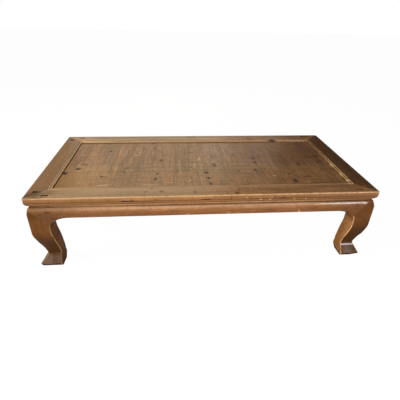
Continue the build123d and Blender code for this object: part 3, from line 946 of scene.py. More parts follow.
class Value:
    """What a node gives at each point of a surface. Sums and products of it are nodes too."""

    def __init__(self, tree, socket):
        self.tree = tree
        self.socket = socket

    def math(self, operation, first, second=0.0):
        node = self.tree.nodes.new("ShaderNodeMath")
        node.operation = operation
        join(self.tree, node.inputs[0], first)
        join(self.tree, node.inputs[1], second)
        return Value(self.tree, node.outputs[0])

    def __add__(self, other):
        return self.math("ADD", self, other)

    def __sub__(self, other):
        return self.math("SUBTRACT", self, other)

    def __rsub__(self, other):
        return self.math("SUBTRACT", other, self)

    def __mul__(self, other):
        return self.math("MULTIPLY", self, other)

    def __abs__(self):
        return self.math("ABSOLUTE", self)

    def near(self, centre, full, none, share=1.0):
        """A share within one distance of a centre, and nothing beyond another."""
        return abs(self - centre).ease(full, none, share, 0.0)

    def ease(self, low, high, start=0.0, end=1.0):
        """From start to end as the value goes from low to high, with soft ends."""
        node = self.tree.nodes.new("ShaderNodeMapRange")
        node.interpolation_type = "SMOOTHSTEP"
        join(self.tree, node.inputs["Value"], self)
        node.inputs["From Min"].default_value = low
        node.inputs["From Max"].default_value = high
        join(self.tree, node.inputs["To Min"], start)
        join(self.tree, node.inputs["To Max"], end)
        return Value(self.tree, node.outputs["Result"])

    def vector(self, operation, second=(0.0, 0.0, 0.0)):
        node = self.tree.nodes.new("ShaderNodeVectorMath")
        node.operation = operation
        join(self.tree, node.inputs[0], self)
        join(self.tree, node.inputs[1], second)
        return Value(self.tree, node.outputs["Value" if operation == "LENGTH" else "Vector"])

    def mapped(self, centre=(0, 0, 0), turn=0.0, size=(1, 1, 1)):
        """Centres, turns about Z in degrees and shrinks, so that size becomes one."""
        node = self.tree.nodes.new("ShaderNodeMapping")
        node.vector_type = "TEXTURE"
        join(self.tree, node.inputs["Vector"], self)
        node.inputs["Location"].default_value = centre
        node.inputs["Rotation"].default_value = (0, 0, math.radians(turn))
        node.inputs["Scale"].default_value = size
        return Value(self.tree, node.outputs["Vector"])

    def noise(self, scale=1.0, detail=2.0, rough=0.5, output="Fac"):
        node = self.tree.nodes.new("ShaderNodeTexNoise")
        join(self.tree, node.inputs["Vector"], self)
        node.inputs["Scale"].default_value = scale
        node.inputs["Detail"].default_value = detail
        node.inputs["Roughness"].default_value = rough
        return Value(self.tree, node.outputs[output])

    def shaken(self, scale, detail, rough, reach):
        """The coordinates, shifted by noise."""
        shake = self.noise(scale, detail, rough, "Color").vector("SUBTRACT", (0.5, 0.5, 0.5))
        return self.vector("ADD", shake.vector("MULTIPLY", reach))

    def axes(self):
        node = self.tree.nodes.new("ShaderNodeSeparateXYZ")
        join(self.tree, node.inputs[0], self)
        return [Value(self.tree, node.outputs[axis]) for axis in "XYZ"]


def most(first, *others):
    """The largest of several values."""
    for other in others:
        first = first.math("MAXIMUM", first, other)
    return first


def least(first, second):
    """The smaller of two values."""
    return first.math("MINIMUM", first, second)


RELIEF_DEPTH = 1 * MM


class Finish:
    """One material, as coats of colour laid one over another."""

    def __init__(self, name, roughness=0.5, gloss=0.15, coat=0.0, coat_roughness=0.3):
        self.material = bpy.data.materials.new(name)
        self.material.use_nodes = True
        self.tree = self.material.node_tree
        self.surface = self.tree.nodes["Principled BSDF"].inputs
        self.surface["Roughness"].default_value = roughness
        self.surface["Specular IOR Level"].default_value = gloss
        self.surface["Coat Weight"].default_value = coat
        self.surface["Coat Roughness"].default_value = coat_roughness
        self.place = self.read("ShaderNodeTexCoord", "Object")
        self.x, self.y, self.z = self.place.axes()
        self.top_coat = None

    def read(self, kind, output):
        """One output of a new node."""
        return Value(self.tree, self.tree.nodes.new(kind).outputs[output])

    def wear(self):
        """How far the edges are rubbed, as marked on the shape."""
        node = self.tree.nodes.new("ShaderNodeAttribute")
        node.attribute_name = "wear"
        return Value(self.tree, node.outputs["Fac"])

    def mix(self, share, first, second, blend="MIX"):
        """A share of the second colour over the first."""
        node = self.tree.nodes.new("ShaderNodeMix")
        node.data_type = "RGBA"
        node.blend_type = blend
        join(self.tree, node.inputs["Factor"], share)
        sockets = [socket for socket in node.inputs if socket.type == "RGBA"]
        for socket, colour in zip(sockets, (first, second)):
            join(self.tree, socket, colour)
        return Value(self.tree, next(out for out in node.outputs if out.type == "RGBA"))

    def ground(self, share, light, dark):
        """The first coat: a share of the dark colour over the light one."""
        self.top_coat = self.mix(share, light, dark)

    def lay(self, share, colour, blend="MIX"):
        """Lays a share of a colour over the coats so far."""
        self.top_coat = self.mix(share, self.top_coat, colour, blend)

    def coat(self, value):
        join(self.tree, self.surface["Coat Weight"], value)

    def rough(self, value):
        join(self.tree, self.surface["Roughness"], value)

    def bump(self, height, strength):
        """Fine relief of the surface."""
        node = self.tree.nodes.new("ShaderNodeBump")
        node.inputs["Strength"].default_value = strength
        node.inputs["Distance"].default_value = RELIEF_DEPTH
        join(self.tree, node.inputs["Height"], height)
        self.tree.links.new(node.outputs["Normal"], self.surface["Normal"])

    def done(self):
        """Joins the coats to the surface, and hands over the material."""
        join(self.tree, self.surface["Base Color"], self.top_coat)
        return self.material


# how long and how wide one streak of the grain is, in metres
FIGURE = (0.55, 0.030)
FIBRE = (0.09, 0.0022)


def tinted(colour, share):
    """A colour made lighter or darker by a share."""
    return tuple(part * share for part in colour)


def wood_grain(finish, along, seed):
    """The figure and the fibres of a piece: two values about 0 to 1."""
    place = finish.place.shaken(3.0, 2.0, 0.5, (0.05, 0.05, 0.05))
    place = place.vector("ADD", (seed * 1.7, seed * 0.9, seed * 2.3))
    sizes = [
        tuple(run if axis == along else width for axis in "XYZ") for run, width in (FIGURE, FIBRE)
    ]
    figure = place.mapped(size=sizes[0]).noise(detail=4.0, rough=0.6)
    fibre = place.mapped(size=sizes[1]).noise(detail=3.0, rough=0.6)
    return figure, fibre


def raised_grain(finish, figure, fibre, strength):
    """Fine relief that follows the grain."""
    finish.bump(figure * 0.8 + fibre * 0.35, strength)


def spots(finish, marks, roughen=0.018):
    """Soft oval spots: (x, y, half length, half width, turn in degrees, strength)."""
    place = finish.place.shaken(70.0, 4.0, 0.7, (roughen, roughen, 0.0))
    found = []
    for x, y, run, width, turn, strength in marks:
        reach = place.mapped((x, y, 0), turn, (run, width, 10)).vector("LENGTH")
        found.append(reach.ease(0.20, 1.30, min(1.0, strength * 1.2), 0.0))
    return most(*found)


FRONT_SPOT_REACH = 0.02


def front_spots(finish, marks):
    """Spots on the front edge: (x, height in mm, half length, half height, strength)."""
    found = []
    for x, height, run, tall, strength in marks:
        near = finish.place.vector("SUBTRACT", (x, CAD_LOW.y, height * MM))
        near = near.vector("MULTIPLY", (1 / run, 1 / FRONT_SPOT_REACH, 1 / tall))
        found.append(near.vector("LENGTH").ease(0.4, 1.0, strength, 0.0))
    return most(*found)


def aged_and_shaded(finish, colours, x, start, end, share):
    """Darkens the wood from one place along the table to another, partly as aged wood and partly as
    painted shade.
    """
    finish.lay(x.ease(start, end, 0.0, min(0.95, colours.ageing_and_shade * share)), colours.knot_and_shade)


def flecked(finish, noise, *flecks):
    """Colours where a noise is high or low: (starts, is full, share, colour)."""
    for starts, is_full, share, colour in flecks:
        finish.lay(noise.ease(starts, is_full, 0.0, share), colour)


def speckle(finish, scale):
    """Ragged flecks of stain."""
    return finish.place.noise(scale, 5.0, 0.75)


def pores(finish):
    """Fine pores of the open wood."""
    return finish.place.noise(85.0, 3.0, 0.6)


# knots and stains, and one line of painted shadow along the near rail: (x, y, half length, half width,
# turn in degrees, strength)
PANEL_MARKS = (
    (-0.569, 0.178, 0.010, 0.016, 0, 0.85),
    (-0.567, 0.124, 0.010, 0.012, 0, 0.45),
    (-0.679, 0.046, 0.010, 0.012, 0, 0.40),
    (-0.692, -0.025, 0.016, 0.014, 0, 0.55),
    (-0.716, -0.088, 0.020, 0.018, 20, 0.90),
    (-0.778, -0.143, 0.022, 0.022, 0, 0.90),
    (-0.565, -0.192, 0.012, 0.012, 0, 0.80),
    (-0.545, -0.196, 0.007, 0.008, 0, 0.60),
    (-0.446, -0.142, 0.008, 0.012, 0, 0.75),
    (-0.440, -0.090, 0.016, 0.034, -10, 0.40),
    (-0.260, -0.166, 0.011, 0.013, 0, 0.80),
    (-0.270, -0.230, 0.013, 0.014, 0, 0.85),
    (-0.292, 0.220, 0.016, 0.024, 0, 0.50),
    (-0.246, 0.024, 0.013, 0.016, 0, 0.80),
    (-0.055, 0.145, 0.028, 0.010, 0, 0.45),
    (-0.067, -0.086, 0.014, 0.008, 0, 0.50),
    (0.022, -0.041, 0.008, 0.010, 0, 0.60),
    (0.076, -0.060, 0.016, 0.036, 10, 0.55),
    (0.017, -0.161, 0.016, 0.016, 0, 0.90),
    (0.024, -0.230, 0.018, 0.014, -15, 0.95),
    (0.028, -0.300, 0.012, 0.020, 0, 0.65),
    (0.210, -0.143, 0.012, 0.014, 0, 0.45),
    (0.306, 0.121, 0.006, 0.010, 0, 0.55),
    (0.334, 0.037, 0.010, 0.016, 0, 0.70),
    (0.331, -0.025, 0.013, 0.018, 0, 0.90),
    (0.307, -0.135, 0.014, 0.016, 10, 0.90),
    (0.579, 0.025, 0.012, 0.014, 0, 0.60),
    (0.746, 0.057, 0.010, 0.012, 0, 0.60),
    (0.742, -0.026, 0.020, 0.014, 0, 0.45),
    (0.596, -0.060, 0.016, 0.020, 0, 0.45),
    (0.494, -0.190, 0.012, 0.013, 0, 0.70),
    (0.504, -0.280, 0.014, 0.030, 10, 0.75),
    (0.588, -0.229, 0.032, 0.014, 0, 0.50),
    (0.216, -0.318, 0.028, 0.010, 0, 0.90),
    (0.120, 0.270, 0.030, 0.010, 0, 0.50),
    # a long dark line along the near rail: the gap, with a painted shadow of the frame's step
    (0.640, -0.318, 0.140, 0.006, 0, 0.75),
    (-0.300, 0.320, 0.024, 0.008, 0, 0.70),
)

FRAME_MARKS = (
    (-0.860, -0.405, 0.060, 0.034, 20, 0.50),
    (-0.840, -0.430, 0.060, 0.010, 0, 0.45),
    (-0.800, -0.380, 0.050, 0.030, 0, 0.25),
    (-0.838, -0.374, 0.016, 0.011, 0, 0.65),
    (0.535, 0.337, 0.034, 0.020, 0, 1.00),
    (0.369, 0.377, 0.024, 0.010, 0, 0.65),
    (-0.040, 0.413, 0.040, 0.016, 0, 0.45),
    (-0.544, 0.322, 0.016, 0.006, 0, 0.55),
    (-0.296, 0.316, 0.016, 0.006, 0, 0.70),
    (0.779, 0.409, 0.012, 0.020, 0, 0.60),
    (-0.451, -0.333, 0.010, 0.012, 0, 0.50),
    (-0.286, -0.356, 0.006, 0.006, 0, 0.80),
    (-0.232, -0.393, 0.014, 0.014, 0, 0.50),
    (-0.310, -0.393, 0.012, 0.010, 0, 0.45),
    (-0.064, -0.403, 0.012, 0.012, 0, 0.50),
    (-0.006, -0.367, 0.004, 0.004, 0, 0.70),
    (0.151, -0.424, 0.012, 0.010, 0, 0.95),
    (0.166, -0.385, 0.004, 0.022, -25, 0.50),
    (0.200, -0.373, 0.005, 0.005, 0, 0.80),
    (0.274, -0.376, 0.007, 0.006, 0, 0.60),
)

PANEL_SCRATCHES = (
    (-0.723, -0.036, 0.0035, 0.034, 2, 0.75),
    (-0.706, -0.114, 0.024, 0.0055, 0, 0.85),
    (-0.728, 0.112, 0.016, 0.010, 15, 0.50),
    (-0.541, -0.295, 0.050, 0.012, 5, 0.50),
    (-0.306, -0.300, 0.060, 0.008, 0, 0.45),
    (-0.195, -0.276, 0.030, 0.006, -10, 0.50),
    (-0.405, 0.106, 0.022, 0.012, 0, 0.40),
    (-0.044, -0.059, 0.0035, 0.036, -15, 0.80),
    (-0.011, 0.040, 0.005, 0.032, -14, 0.75),
    (0.051, 0.073, 0.006, 0.016, 0, 0.60),
    (0.073, -0.003, 0.005, 0.014, 0, 0.75),
    (-0.081, -0.259, 0.005, 0.018, -35, 0.70),
    (0.404, -0.213, 0.016, 0.006, 0, 0.75),
    (0.581, -0.294, 0.020, 0.006, 0, 0.40),
)

BEAD_NICKS = (
    (0.786, -0.343, 0.012, 0.012, 0, 1.0),
    (0.795, -0.300, 0.006, 0.020, 0, 0.8),
    (0.795, -0.220, 0.006, 0.030, 0, 0.7),
    (0.795, -0.090, 0.006, 0.040, 0, 0.6),
)

# spots on the front edge: (x, height in millimetres, half length, half height, strength)
FRONT_NICKS = (
    (0.200, 402.0, 0.010, 0.0060, 0.45),
    (0.272, 388.5, 0.006, 0.0060, 0.95),
    (0.322, 388.0, 0.007, 0.0055, 0.95),
    (0.330, 399.0, 0.004, 0.0050, 0.40),
    (0.449, 387.0, 0.005, 0.0065, 0.95),
    (0.509, 387.0, 0.006, 0.0070, 0.90),
    (0.558, 383.0, 0.008, 0.0045, 0.40),
)

FRONT_GOUGES = (
    (-0.415, 395.0, 0.026, 0.0046, 1.00),
    (-0.380, 396.0, 0.022, 0.0046, 0.80),
    (-0.262, 400.0, 0.008, 0.0070, 0.45),
    (-0.008, 394.5, 0.036, 0.0044, 1.00),
    (0.120, 400.0, 0.008, 0.0090, 0.45),
    (0.220, 399.0, 0.008, 0.0070, 0.30),
    (0.394, 394.0, 0.036, 0.0044, 1.00),
)

APRON_NICKS = (
    (0.484, 313.0, 0.004, 0.0080, 0.9),
    (0.490, 309.0, 0.005, 0.0050, 0.9),
    (-0.560, 354.0, 0.005, 0.0030, 0.6),
    (0.110, 309.0, 0.008, 0.0040, 0.8),
    (-0.100, 309.0, 0.014, 0.0030, 0.6),
    (0.160, 308.5, 0.020, 0.0025, 0.5),
)

APRON_STAINS = (
    (-0.795, 337.0, 0.022, 0.0070, 0.55),
    (-0.770, 300.0, 0.030, 0.0060, 0.45),
    (-0.835, 326.0, 0.016, 0.0050, 0.45),
    (-0.610, 340.0, 0.012, 0.0040, 0.35),
    (-0.566, 351.0, 0.006, 0.0025, 0.70),
    (-0.180, 330.0, 0.060, 0.0080, 0.25),
    (0.330, 322.0, 0.050, 0.0100, 0.30),
    (0.560, 330.0, 0.040, 0.0120, 0.35),
    (0.800, 334.0, 0.020, 0.0120, 0.40),
    (0.745, 300.0, 0.030, 0.0100, 0.40),
)


# In the finishes below, ease() and flecked() say where a coat starts, where it is full and how
# strong it is. Places are in metres, and noise runs from 0 to 1.


class FramePlaces:
    """Where a point lies on the frame, by its distances from the outer edges."""

    def __init__(self, finish, sizes):
        self.from_end = sizes.length / 2 - abs(finish.x)
        self.from_front = sizes.depth / 2 - abs(finish.y)
        self.inset = least(self.from_end, self.from_front)
        self.below = sizes.height - finish.z
        surface = self.below.ease(6 * MM, 2 * MM)
        self.upper_side = most(surface, self.inset.ease(70 * MM, 80 * MM))
        self.rim = self.inset.ease(2.2 * MM, 3.6 * MM, 1.0, 0.0)
        self.left_end = finish.x.ease(-0.55, -0.65)


def sheen_age_and_shade(finish, colours, at, along):
    """Painted sheen on the upper side towards the left, and darker towards the right, partly aged wood
    and partly painted shade. The long rails also darken along the rim towards both ends, the short rails
    are darker all over, and all darken from 12 mm below the top downwards.
    """
    if along == "X":
        # painted sheen: the upper side paler towards the left, less so on the back rail
        fade = finish.x.ease(-0.15, 0.20, 0.62, 0.12) * at.upper_side
        finish.lay(fade * finish.y.ease(-0.30, 0.30, 1.0, 0.72), colours.top_sheen)
        aged_and_shaded(finish, colours, finish.x, 0.15, 0.9, 0.6)
        finish.lay(abs(finish.x).ease(0.60, 0.80, 0.0, 0.5) * at.rim, colours.frame_dark)
    else:
        finish.lay(0.5, colours.frame_dark)
        # painted sheen: the upper side paler towards the left
        fade = finish.x.ease(0.0, 0.5, 0.50, 0.12) * at.upper_side
        finish.lay(fade, tinted(colours.top_sheen, 0.55))
        aged_and_shaded(finish, colours, finish.x, 0.7, 0.8, 1.4)
    finish.lay(at.below.ease(12 * MM, 24 * MM, 0.0, 0.40), colours.frame_dark)


def rubbed_edges(finish, colours, at, along):
    """Bare wood on the arris, the bead and the ledge."""
    arris = at.below.ease(8.5 * MM, 6.0 * MM) * at.rim
    wear = finish.wear() * at.inset.ease(60 * MM, 64 * MM)
    bead = at.inset.near(95.5 * MM, 2.0 * MM, 4.5 * MM)
    bead = most(bead, at.inset.ease(101.0 * MM, 102.5 * MM, 0.0, 0.50))
    if along == "Y":
        bead = bead * finish.y.ease(-0.10, 0.20, 1.0, 0.30)
    chips = finish.place.noise(60.0, 3.0).ease(0.30, 0.60, 0.5, 1.0)
    finish.lay(most(wear, arris, bead) * chips * colours.edge_wear, colours.worn_edge_and_highlight)


def dirt_and_shade_lines(finish, colours, at):
    """Old dirt in the moulding's quirk and line outside, painted shade at the foot of the moulding over
    the waist, and dirt in the quirks and the mitre on top.
    """
    quirk = at.below.near(27.6 * MM, 1.2 * MM, 3.6 * MM, 0.75)
    line = at.below.near(38.4 * MM, 0.4 * MM, 1.2 * MM, 0.6)
    # painted shade: darker at the foot of the moulding and under the rail, over the waist
    foot = at.below.ease(46 * MM, 43 * MM, 0.6, 0.0)
    outer = most(quirk, line, foot) * at.inset.ease(12 * MM, 16 * MM, 1.0, 0.0)
    shift = at.left_end * (0.6 * MM)
    groove = abs(at.inset - 99.8 * MM - shift) - shift
    groove = groove.ease(0.8 * MM, 1.6 * MM, 0.7, 0.0)
    quirk = at.inset.near(91.2 * MM, 0.4 * MM, 1.1 * MM, 0.5 - at.left_end * 0.4)
    mitre = at.from_end.near(at.from_front, 0.4 * MM, 1.4 * MM, 0.7)
    inner = most(groove, quirk, mitre) * at.below.ease(10 * MM, 6 * MM)
    finish.lay(most(outer, inner), colours.grime_and_shade)


def bare_bead(finish, at):
    """Share of bare wood where the bead and the ledge are rubbed through or nicked."""
    bead = at.inset.near(95.3 * MM, 2.8 * MM, 3.8 * MM, 0.75)
    rubbed = most(bead, at.inset.ease(101.6 * MM, 102.6 * MM, 0.0, 0.5))
    rubbed = rubbed * at.left_end * at.below.ease(6 * MM, 3 * MM)
    return most(spots(finish, BEAD_NICKS, roughen=0.002), rubbed) * 0.9


def frame_wood(sizes, colours, along):
    """Finish of the rails: clear grain, rubbed arris, dirt in the quirks, dark knots, painted sheen
    towards the left and painted shade on the step above the panel.
    """
    long_rail = along == "X"
    gloss = 0.15 if long_rail else 0.08
    finish = Finish(f"frame wood along {along}", gloss=gloss, coat=0.42, coat_roughness=0.26)
    figure, fibre = wood_grain(finish, along, 1.0 if long_rail else 4.0)
    at = FramePlaces(finish, sizes)
    dark = colours.frame_dark
    finish.ground(figure.ease(0.30, 0.72), colours.frame_light, dark)
    flecked(finish, fibre, (0.45, 0.80, 0.35, dark))
    flecked(finish, finish.place.noise(5.0, 3.0), (0.35, 0.75, 0.35, dark))
    flecked(finish, speckle(finish, 34.0), (0.50, 0.66, 0.60, dark))
    sheen_age_and_shade(finish, colours, at, along)
    rubbed_edges(finish, colours, at, along)
    dirt_and_shade_lines(finish, colours, at)
    fine = pores(finish)
    pale = fine.ease(0.56, 0.72, 0.0, 0.30 if long_rail else 0.12)
    finish.lay(pale * at.upper_side, colours.worn_edge_and_highlight)
    flecked(finish, fine, (0.42, 0.32, 0.35, colours.grime_and_shade))
    # painted shade on the step down to the panel, darker from 3.5 mm below the top
    step = at.below.ease(8 * MM, 3.5 * MM, 0.55, 0.0)
    finish.lay(step * at.inset.ease(102 * MM, 107 * MM), colours.grime_and_shade)
    marks = spots(finish, FRAME_MARKS) * at.upper_side
    finish.lay(marks, colours.knot_and_shade)
    finish.lay(bare_bead(finish, at), tinted(colours.worn_edge_and_highlight, 1.15))
    if long_rail:
        finish.lay(front_spots(finish, FRONT_GOUGES), colours.knot_and_shade)
        finish.lay(front_spots(finish, FRONT_NICKS), colours.worn_edge_and_highlight)
        finish.coat(marks.ease(0.1, 0.8, 0.42, 0.16))
    else:
        finish.coat(finish.x.ease(0.0, 0.5, 0.42, 0.04))
    finish.rough(figure.ease(0.3, 0.7, 0.44, 0.60))
    raised_grain(finish, figure, fibre, 0.35)
    return finish.done()


# painted sheen: a pinkish tint over the back half of the panel
BACK_SHEEN_TINT = (1.02, 0.91, 0.94)


def stains_sheen_and_shade(finish, colours, bands):
    """Painted reflection in broad dark bands, strongest behind; blotches; streaks of oil in front;
    painted light on the front boards at the left end; painted shade over the back right; painted sheen
    tinting the back half.
    """
    x, y = finish.x, finish.y
    light, dark = colours.panel_light, colours.panel_dark
    # painted reflection: dark bands across the grain, strongest towards the back
    finish.lay(bands.ease(0.47, 0.60, 0.0, 0.60) * y.ease(-0.25, 0.05, 0.45, 1.0), dark)
    blotch = finish.place.noise(18.0, 5.0, 0.7)
    flecked(finish, blotch, (0.52, 0.70, 0.60, dark), (0.46, 0.30, 0.50, tinted(light, 1.2)))
    oiled = finish.place.mapped(size=(0.022, 0.16, 1.0)).noise(1.0, 4.0, 0.7)
    oiled = oiled.ease(0.42, 0.62, 0.0, 0.34) * y.ease(-0.10, -0.20)
    finish.lay(oiled * x.ease(-0.45, -0.15, 0.3, 1.0), colours.amber)
    # painted light: the front boards paler towards the left end
    finish.lay(x.ease(-0.45, -0.72, 0.0, 0.45) * y.ease(0.0, -0.12), tinted(light, 1.2))
    far = y.ease(-0.10, 0.08)
    # painted shade: the back of the panel darker towards the right
    finish.lay(x.ease(0.10, 0.36, 0.0, 0.30) * far, dark)
    # painted sheen: a pinkish tint over the back half
    finish.lay(far, BACK_SHEEN_TINT, blend="MULTIPLY")


def joint_dirt_and_rim_shadow(finish, sizes):
    """Share of dirt with painted shadow along the frame, and of dirt in the two joints between the
    boards.
    """
    rail = sizes.rail_width
    from_end = sizes.length / 2 - rail - abs(finish.x)
    nearest = least(from_end, sizes.depth / 2 - rail - abs(finish.y))
    # dirt and the painted shadow of the frame's step, along the panel's rim
    dirt = nearest.ease(2.5 * MM, 7 * MM, finish.x.ease(-0.6, -0.5, 0.45, 0.75), 0.0)
    first = rail - sizes.depth / 2 + sizes.front_board
    for joint, share in ((first, 0.45), (first + sizes.middle_board, 0.30)):
        dirt = most(dirt, finish.y.near(joint, 1.0 * MM, 3.5 * MM, share))
    return dirt


def panel_wood(sizes, colours, name, seed):
    """Finish of a board: planed across the grain, knots, stains, scratches, darker in its joints, with
    painted reflection, sheen, light and shade, and a painted shadow along the frame.
    """
    finish = Finish(f"panel wood {name}", coat=0.42, coat_roughness=0.28)
    figure, fibre = wood_grain(finish, "X", seed)
    light, dark = colours.panel_light, colours.panel_dark
    finish.ground(figure.ease(0.25, 0.78, 0.20, 0.70), light, dark)
    place = finish.place.mapped(turn=1.5, size=(0.0085, 0.20, 1.0))
    strokes = place.noise(1.0, 5.0, 0.78)
    uneven = finish.place.noise(4.5, 2.0).ease(0.35, 0.60, 0.35, 1.0)
    finish.lay(strokes.ease(0.50, 0.64, 0.0, 0.90) * uneven, dark)
    finish.lay(strokes.ease(0.47, 0.32, 0.0, 0.75) * uneven, tinted(light, 1.25))
    # bands: laid in the colour as painted reflection, and also part of the relief
    bands = finish.place.mapped(turn=-2, size=(0.040, 0.40, 1.0)).noise(1.0, 2.0, 0.6)
    stains_sheen_and_shade(finish, colours, bands)
    aged_and_shaded(finish, colours, finish.x, 0.3, 0.8, 0.4)
    flecked(finish, fibre, (0.5, 0.85, 0.25, colours.grime_and_shade))
    marks = spots(finish, PANEL_MARKS)
    finish.lay(marks, colours.knot_and_shade)
    finish.coat(marks.ease(0.1, 0.8, 0.42, 0.16))
    pale, grime_and_shade = (0.56, 0.72, 0.30, colours.worn_edge_and_highlight), (0.42, 0.32, 0.45, colours.grime_and_shade)
    flecked(finish, pores(finish), pale, grime_and_shade)
    finish.lay(spots(finish, PANEL_SCRATCHES, roughen=0.006), colours.worn_edge_and_highlight)
    finish.lay(joint_dirt_and_rim_shadow(finish, sizes), colours.grime_and_shade)
    finish.rough(strokes.ease(0.3, 0.7, 0.42, 0.60))
    finish.bump(strokes * 0.9 + fibre * 0.4 + bands * 1.4, 0.4)
    return finish.done()


# painted shade: tint of the front and back aprons towards their two ends
APRON_RIGHT_SHADE_TINT = (0.95, 0.92, 0.74)
APRON_LEFT_SHADE_TINT = (0.95, 0.94, 0.85)


def apron_wood(colours, along):
    """Finish of the aprons and the waist, with painted shade down the lower face, a painted highlight
    over the shoulder and the waist, dirt with painted shade where the apron meets the waist, and painted
    shade towards the ends.
    """
    finish = Finish(f"apron wood along {along}", gloss=0.1, coat=0.40, coat_roughness=0.15)
    figure, fibre = wood_grain(finish, along, 7.0 if along == "X" else 9.0)
    x, z = finish.x, finish.z
    dark, pale = colours.apron_dark, colours.worn_edge_and_highlight
    finish.ground(figure.ease(0.30, 0.74), colours.apron_light, dark)
    flecked(finish, fibre, (0.45, 0.80, 0.35, dark))
    flecked(finish, finish.place.noise(7.0, 3.0), (0.40, 0.75, 0.45, dark))
    finish.lay(finish.wear() * 0.35, pale)
    # painted shade: darker down the lower face; painted highlight: paler from 349 mm up, over the
    # shoulder and the waist
    flecked(finish, z, (346 * MM, 326 * MM, 0.70, dark), (342 * MM, 349 * MM, 0.35, pale))
    # dirt in the joint and painted shade under the waist, on the apron's top edge
    joint = z.ease(354.5 * MM, 357.5 * MM, 0.0, 0.60) * z.ease(360.2 * MM, 361.5 * MM, 1.0, 0.0)
    finish.lay(joint * x.ease(-0.6, -0.2, 0.18, 1.0), colours.grime_and_shade)
    flecked(finish, speckle(finish, 40.0), (0.50, 0.64, 0.42, dark), (0.42, 0.30, 0.25, pale))
    if along == "X":
        # painted shade: tinted and darker towards both ends
        finish.lay(x.ease(0.40, 0.80), APRON_RIGHT_SHADE_TINT, blend="MULTIPLY")
        finish.lay(x.ease(-0.60, -0.85), APRON_LEFT_SHADE_TINT, blend="MULTIPLY")
        aged_and_shaded(finish, colours, abs(x), 0.42, 0.86, 1.05)
        finish.lay(front_spots(finish, APRON_STAINS), colours.knot_and_shade)
        finish.lay(front_spots(finish, APRON_NICKS), pale)
    finish.rough(figure.ease(0.3, 0.7, 0.42, 0.58))
    raised_grain(finish, figure, fibre, 0.3)
    return finish.done()


# painted highlight in the crease between a right foot and its ankle
CREASE_HIGHLIGHT = (0.55, 0.47, 0.46)


class LegPlaces:
    """Which side of the table a point lies on, and how its face looks outwards and upwards."""

    def __init__(self, finish):
        self.right_hand = finish.x.math("GREATER_THAN", finish.x, 0.0)
        facing = finish.read("ShaderNodeNewGeometry", "Normal").axes()
        self.along = finish.x.math("SIGN", finish.x) * facing[0]
        self.across = finish.y.math("SIGN", finish.y) * facing[1]
        self.upwards = facing[2].ease(0.15, 0.40)


def inner_faces_lit_and_shaded(finish, colours, at, patches):
    """Painted light and shade on the inner faces of a leg: lit on the right legs, shaded on the left
    legs, with painted shade under the cusp and near the foot.
    """
    inner = least(at.along, at.across).ease(-0.4, -0.8)
    inner = inner * patches.ease(0.40, 0.70, 1.0, 0.65)
    # painted light on the right legs' inner faces, painted shade on the left legs'
    finish.lay(inner, finish.mix(at.right_hand, colours.leg_shade, colours.leg_pale_and_lit))
    # painted shade under the cusp and near the foot
    cusp = finish.z.ease(222 * MM, 246 * MM, 0.0, 0.75)
    foot = finish.z.ease(120 * MM, 50 * MM, 0.0, 0.35)
    finish.lay(most(cusp, foot) * inner, colours.leg_dark)


def foot_dust_sheen_and_crease(finish, colours, at, figure):
    """Dust with painted sheen on top of the foot, a painted highlight in the crease above it, and darker
    along the sole.
    """
    # dust and painted sheen where the foot faces upwards
    sheen_and_dust = finish.z.ease(60 * MM, 66 * MM, 1.0, 0.0) * at.upwards
    sheen_and_dust = sheen_and_dust * figure.ease(0.38, 0.62, 0.90, 0.35)
    low = most(finish.z.ease(56 * MM, 36 * MM, 0.45, 1.0), at.right_hand)
    finish.lay(sheen_and_dust * low, colours.foot_dust_and_sheen)
    # painted highlight in the crease of the right feet
    crease = finish.z.near(54 * MM, 1.5 * MM, 4.0 * MM, 0.85)
    finish.lay(crease * at.upwards * at.right_hand, CREASE_HIGHLIGHT)
    finish.lay(finish.z.ease(4 * MM, 10 * MM, 0.7, 0.0), colours.grime_and_shade)


def worn_arrises(finish, colours, at):
    """Bare wood along the edges of a leg, least above the toe and on the faces at the ends."""
    wear = finish.wear() * finish.place.noise(70.0, 3.0).ease(0.30, 0.62, 0.35, 1.0)
    toe = finish.z.ease(14 * MM, 20 * MM, 1.0, 0.0)
    wear = wear * most(toe, finish.z.ease(18 * MM, 75 * MM, 0.4, 1.0))
    wear = wear * finish.x.ease(-0.2, 0.2, 0.6, 0.95) * at.along.ease(0.2, 0.6, 1.0, 0.2)
    finish.lay(wear, tinted(colours.worn_edge_and_highlight, 1.2))


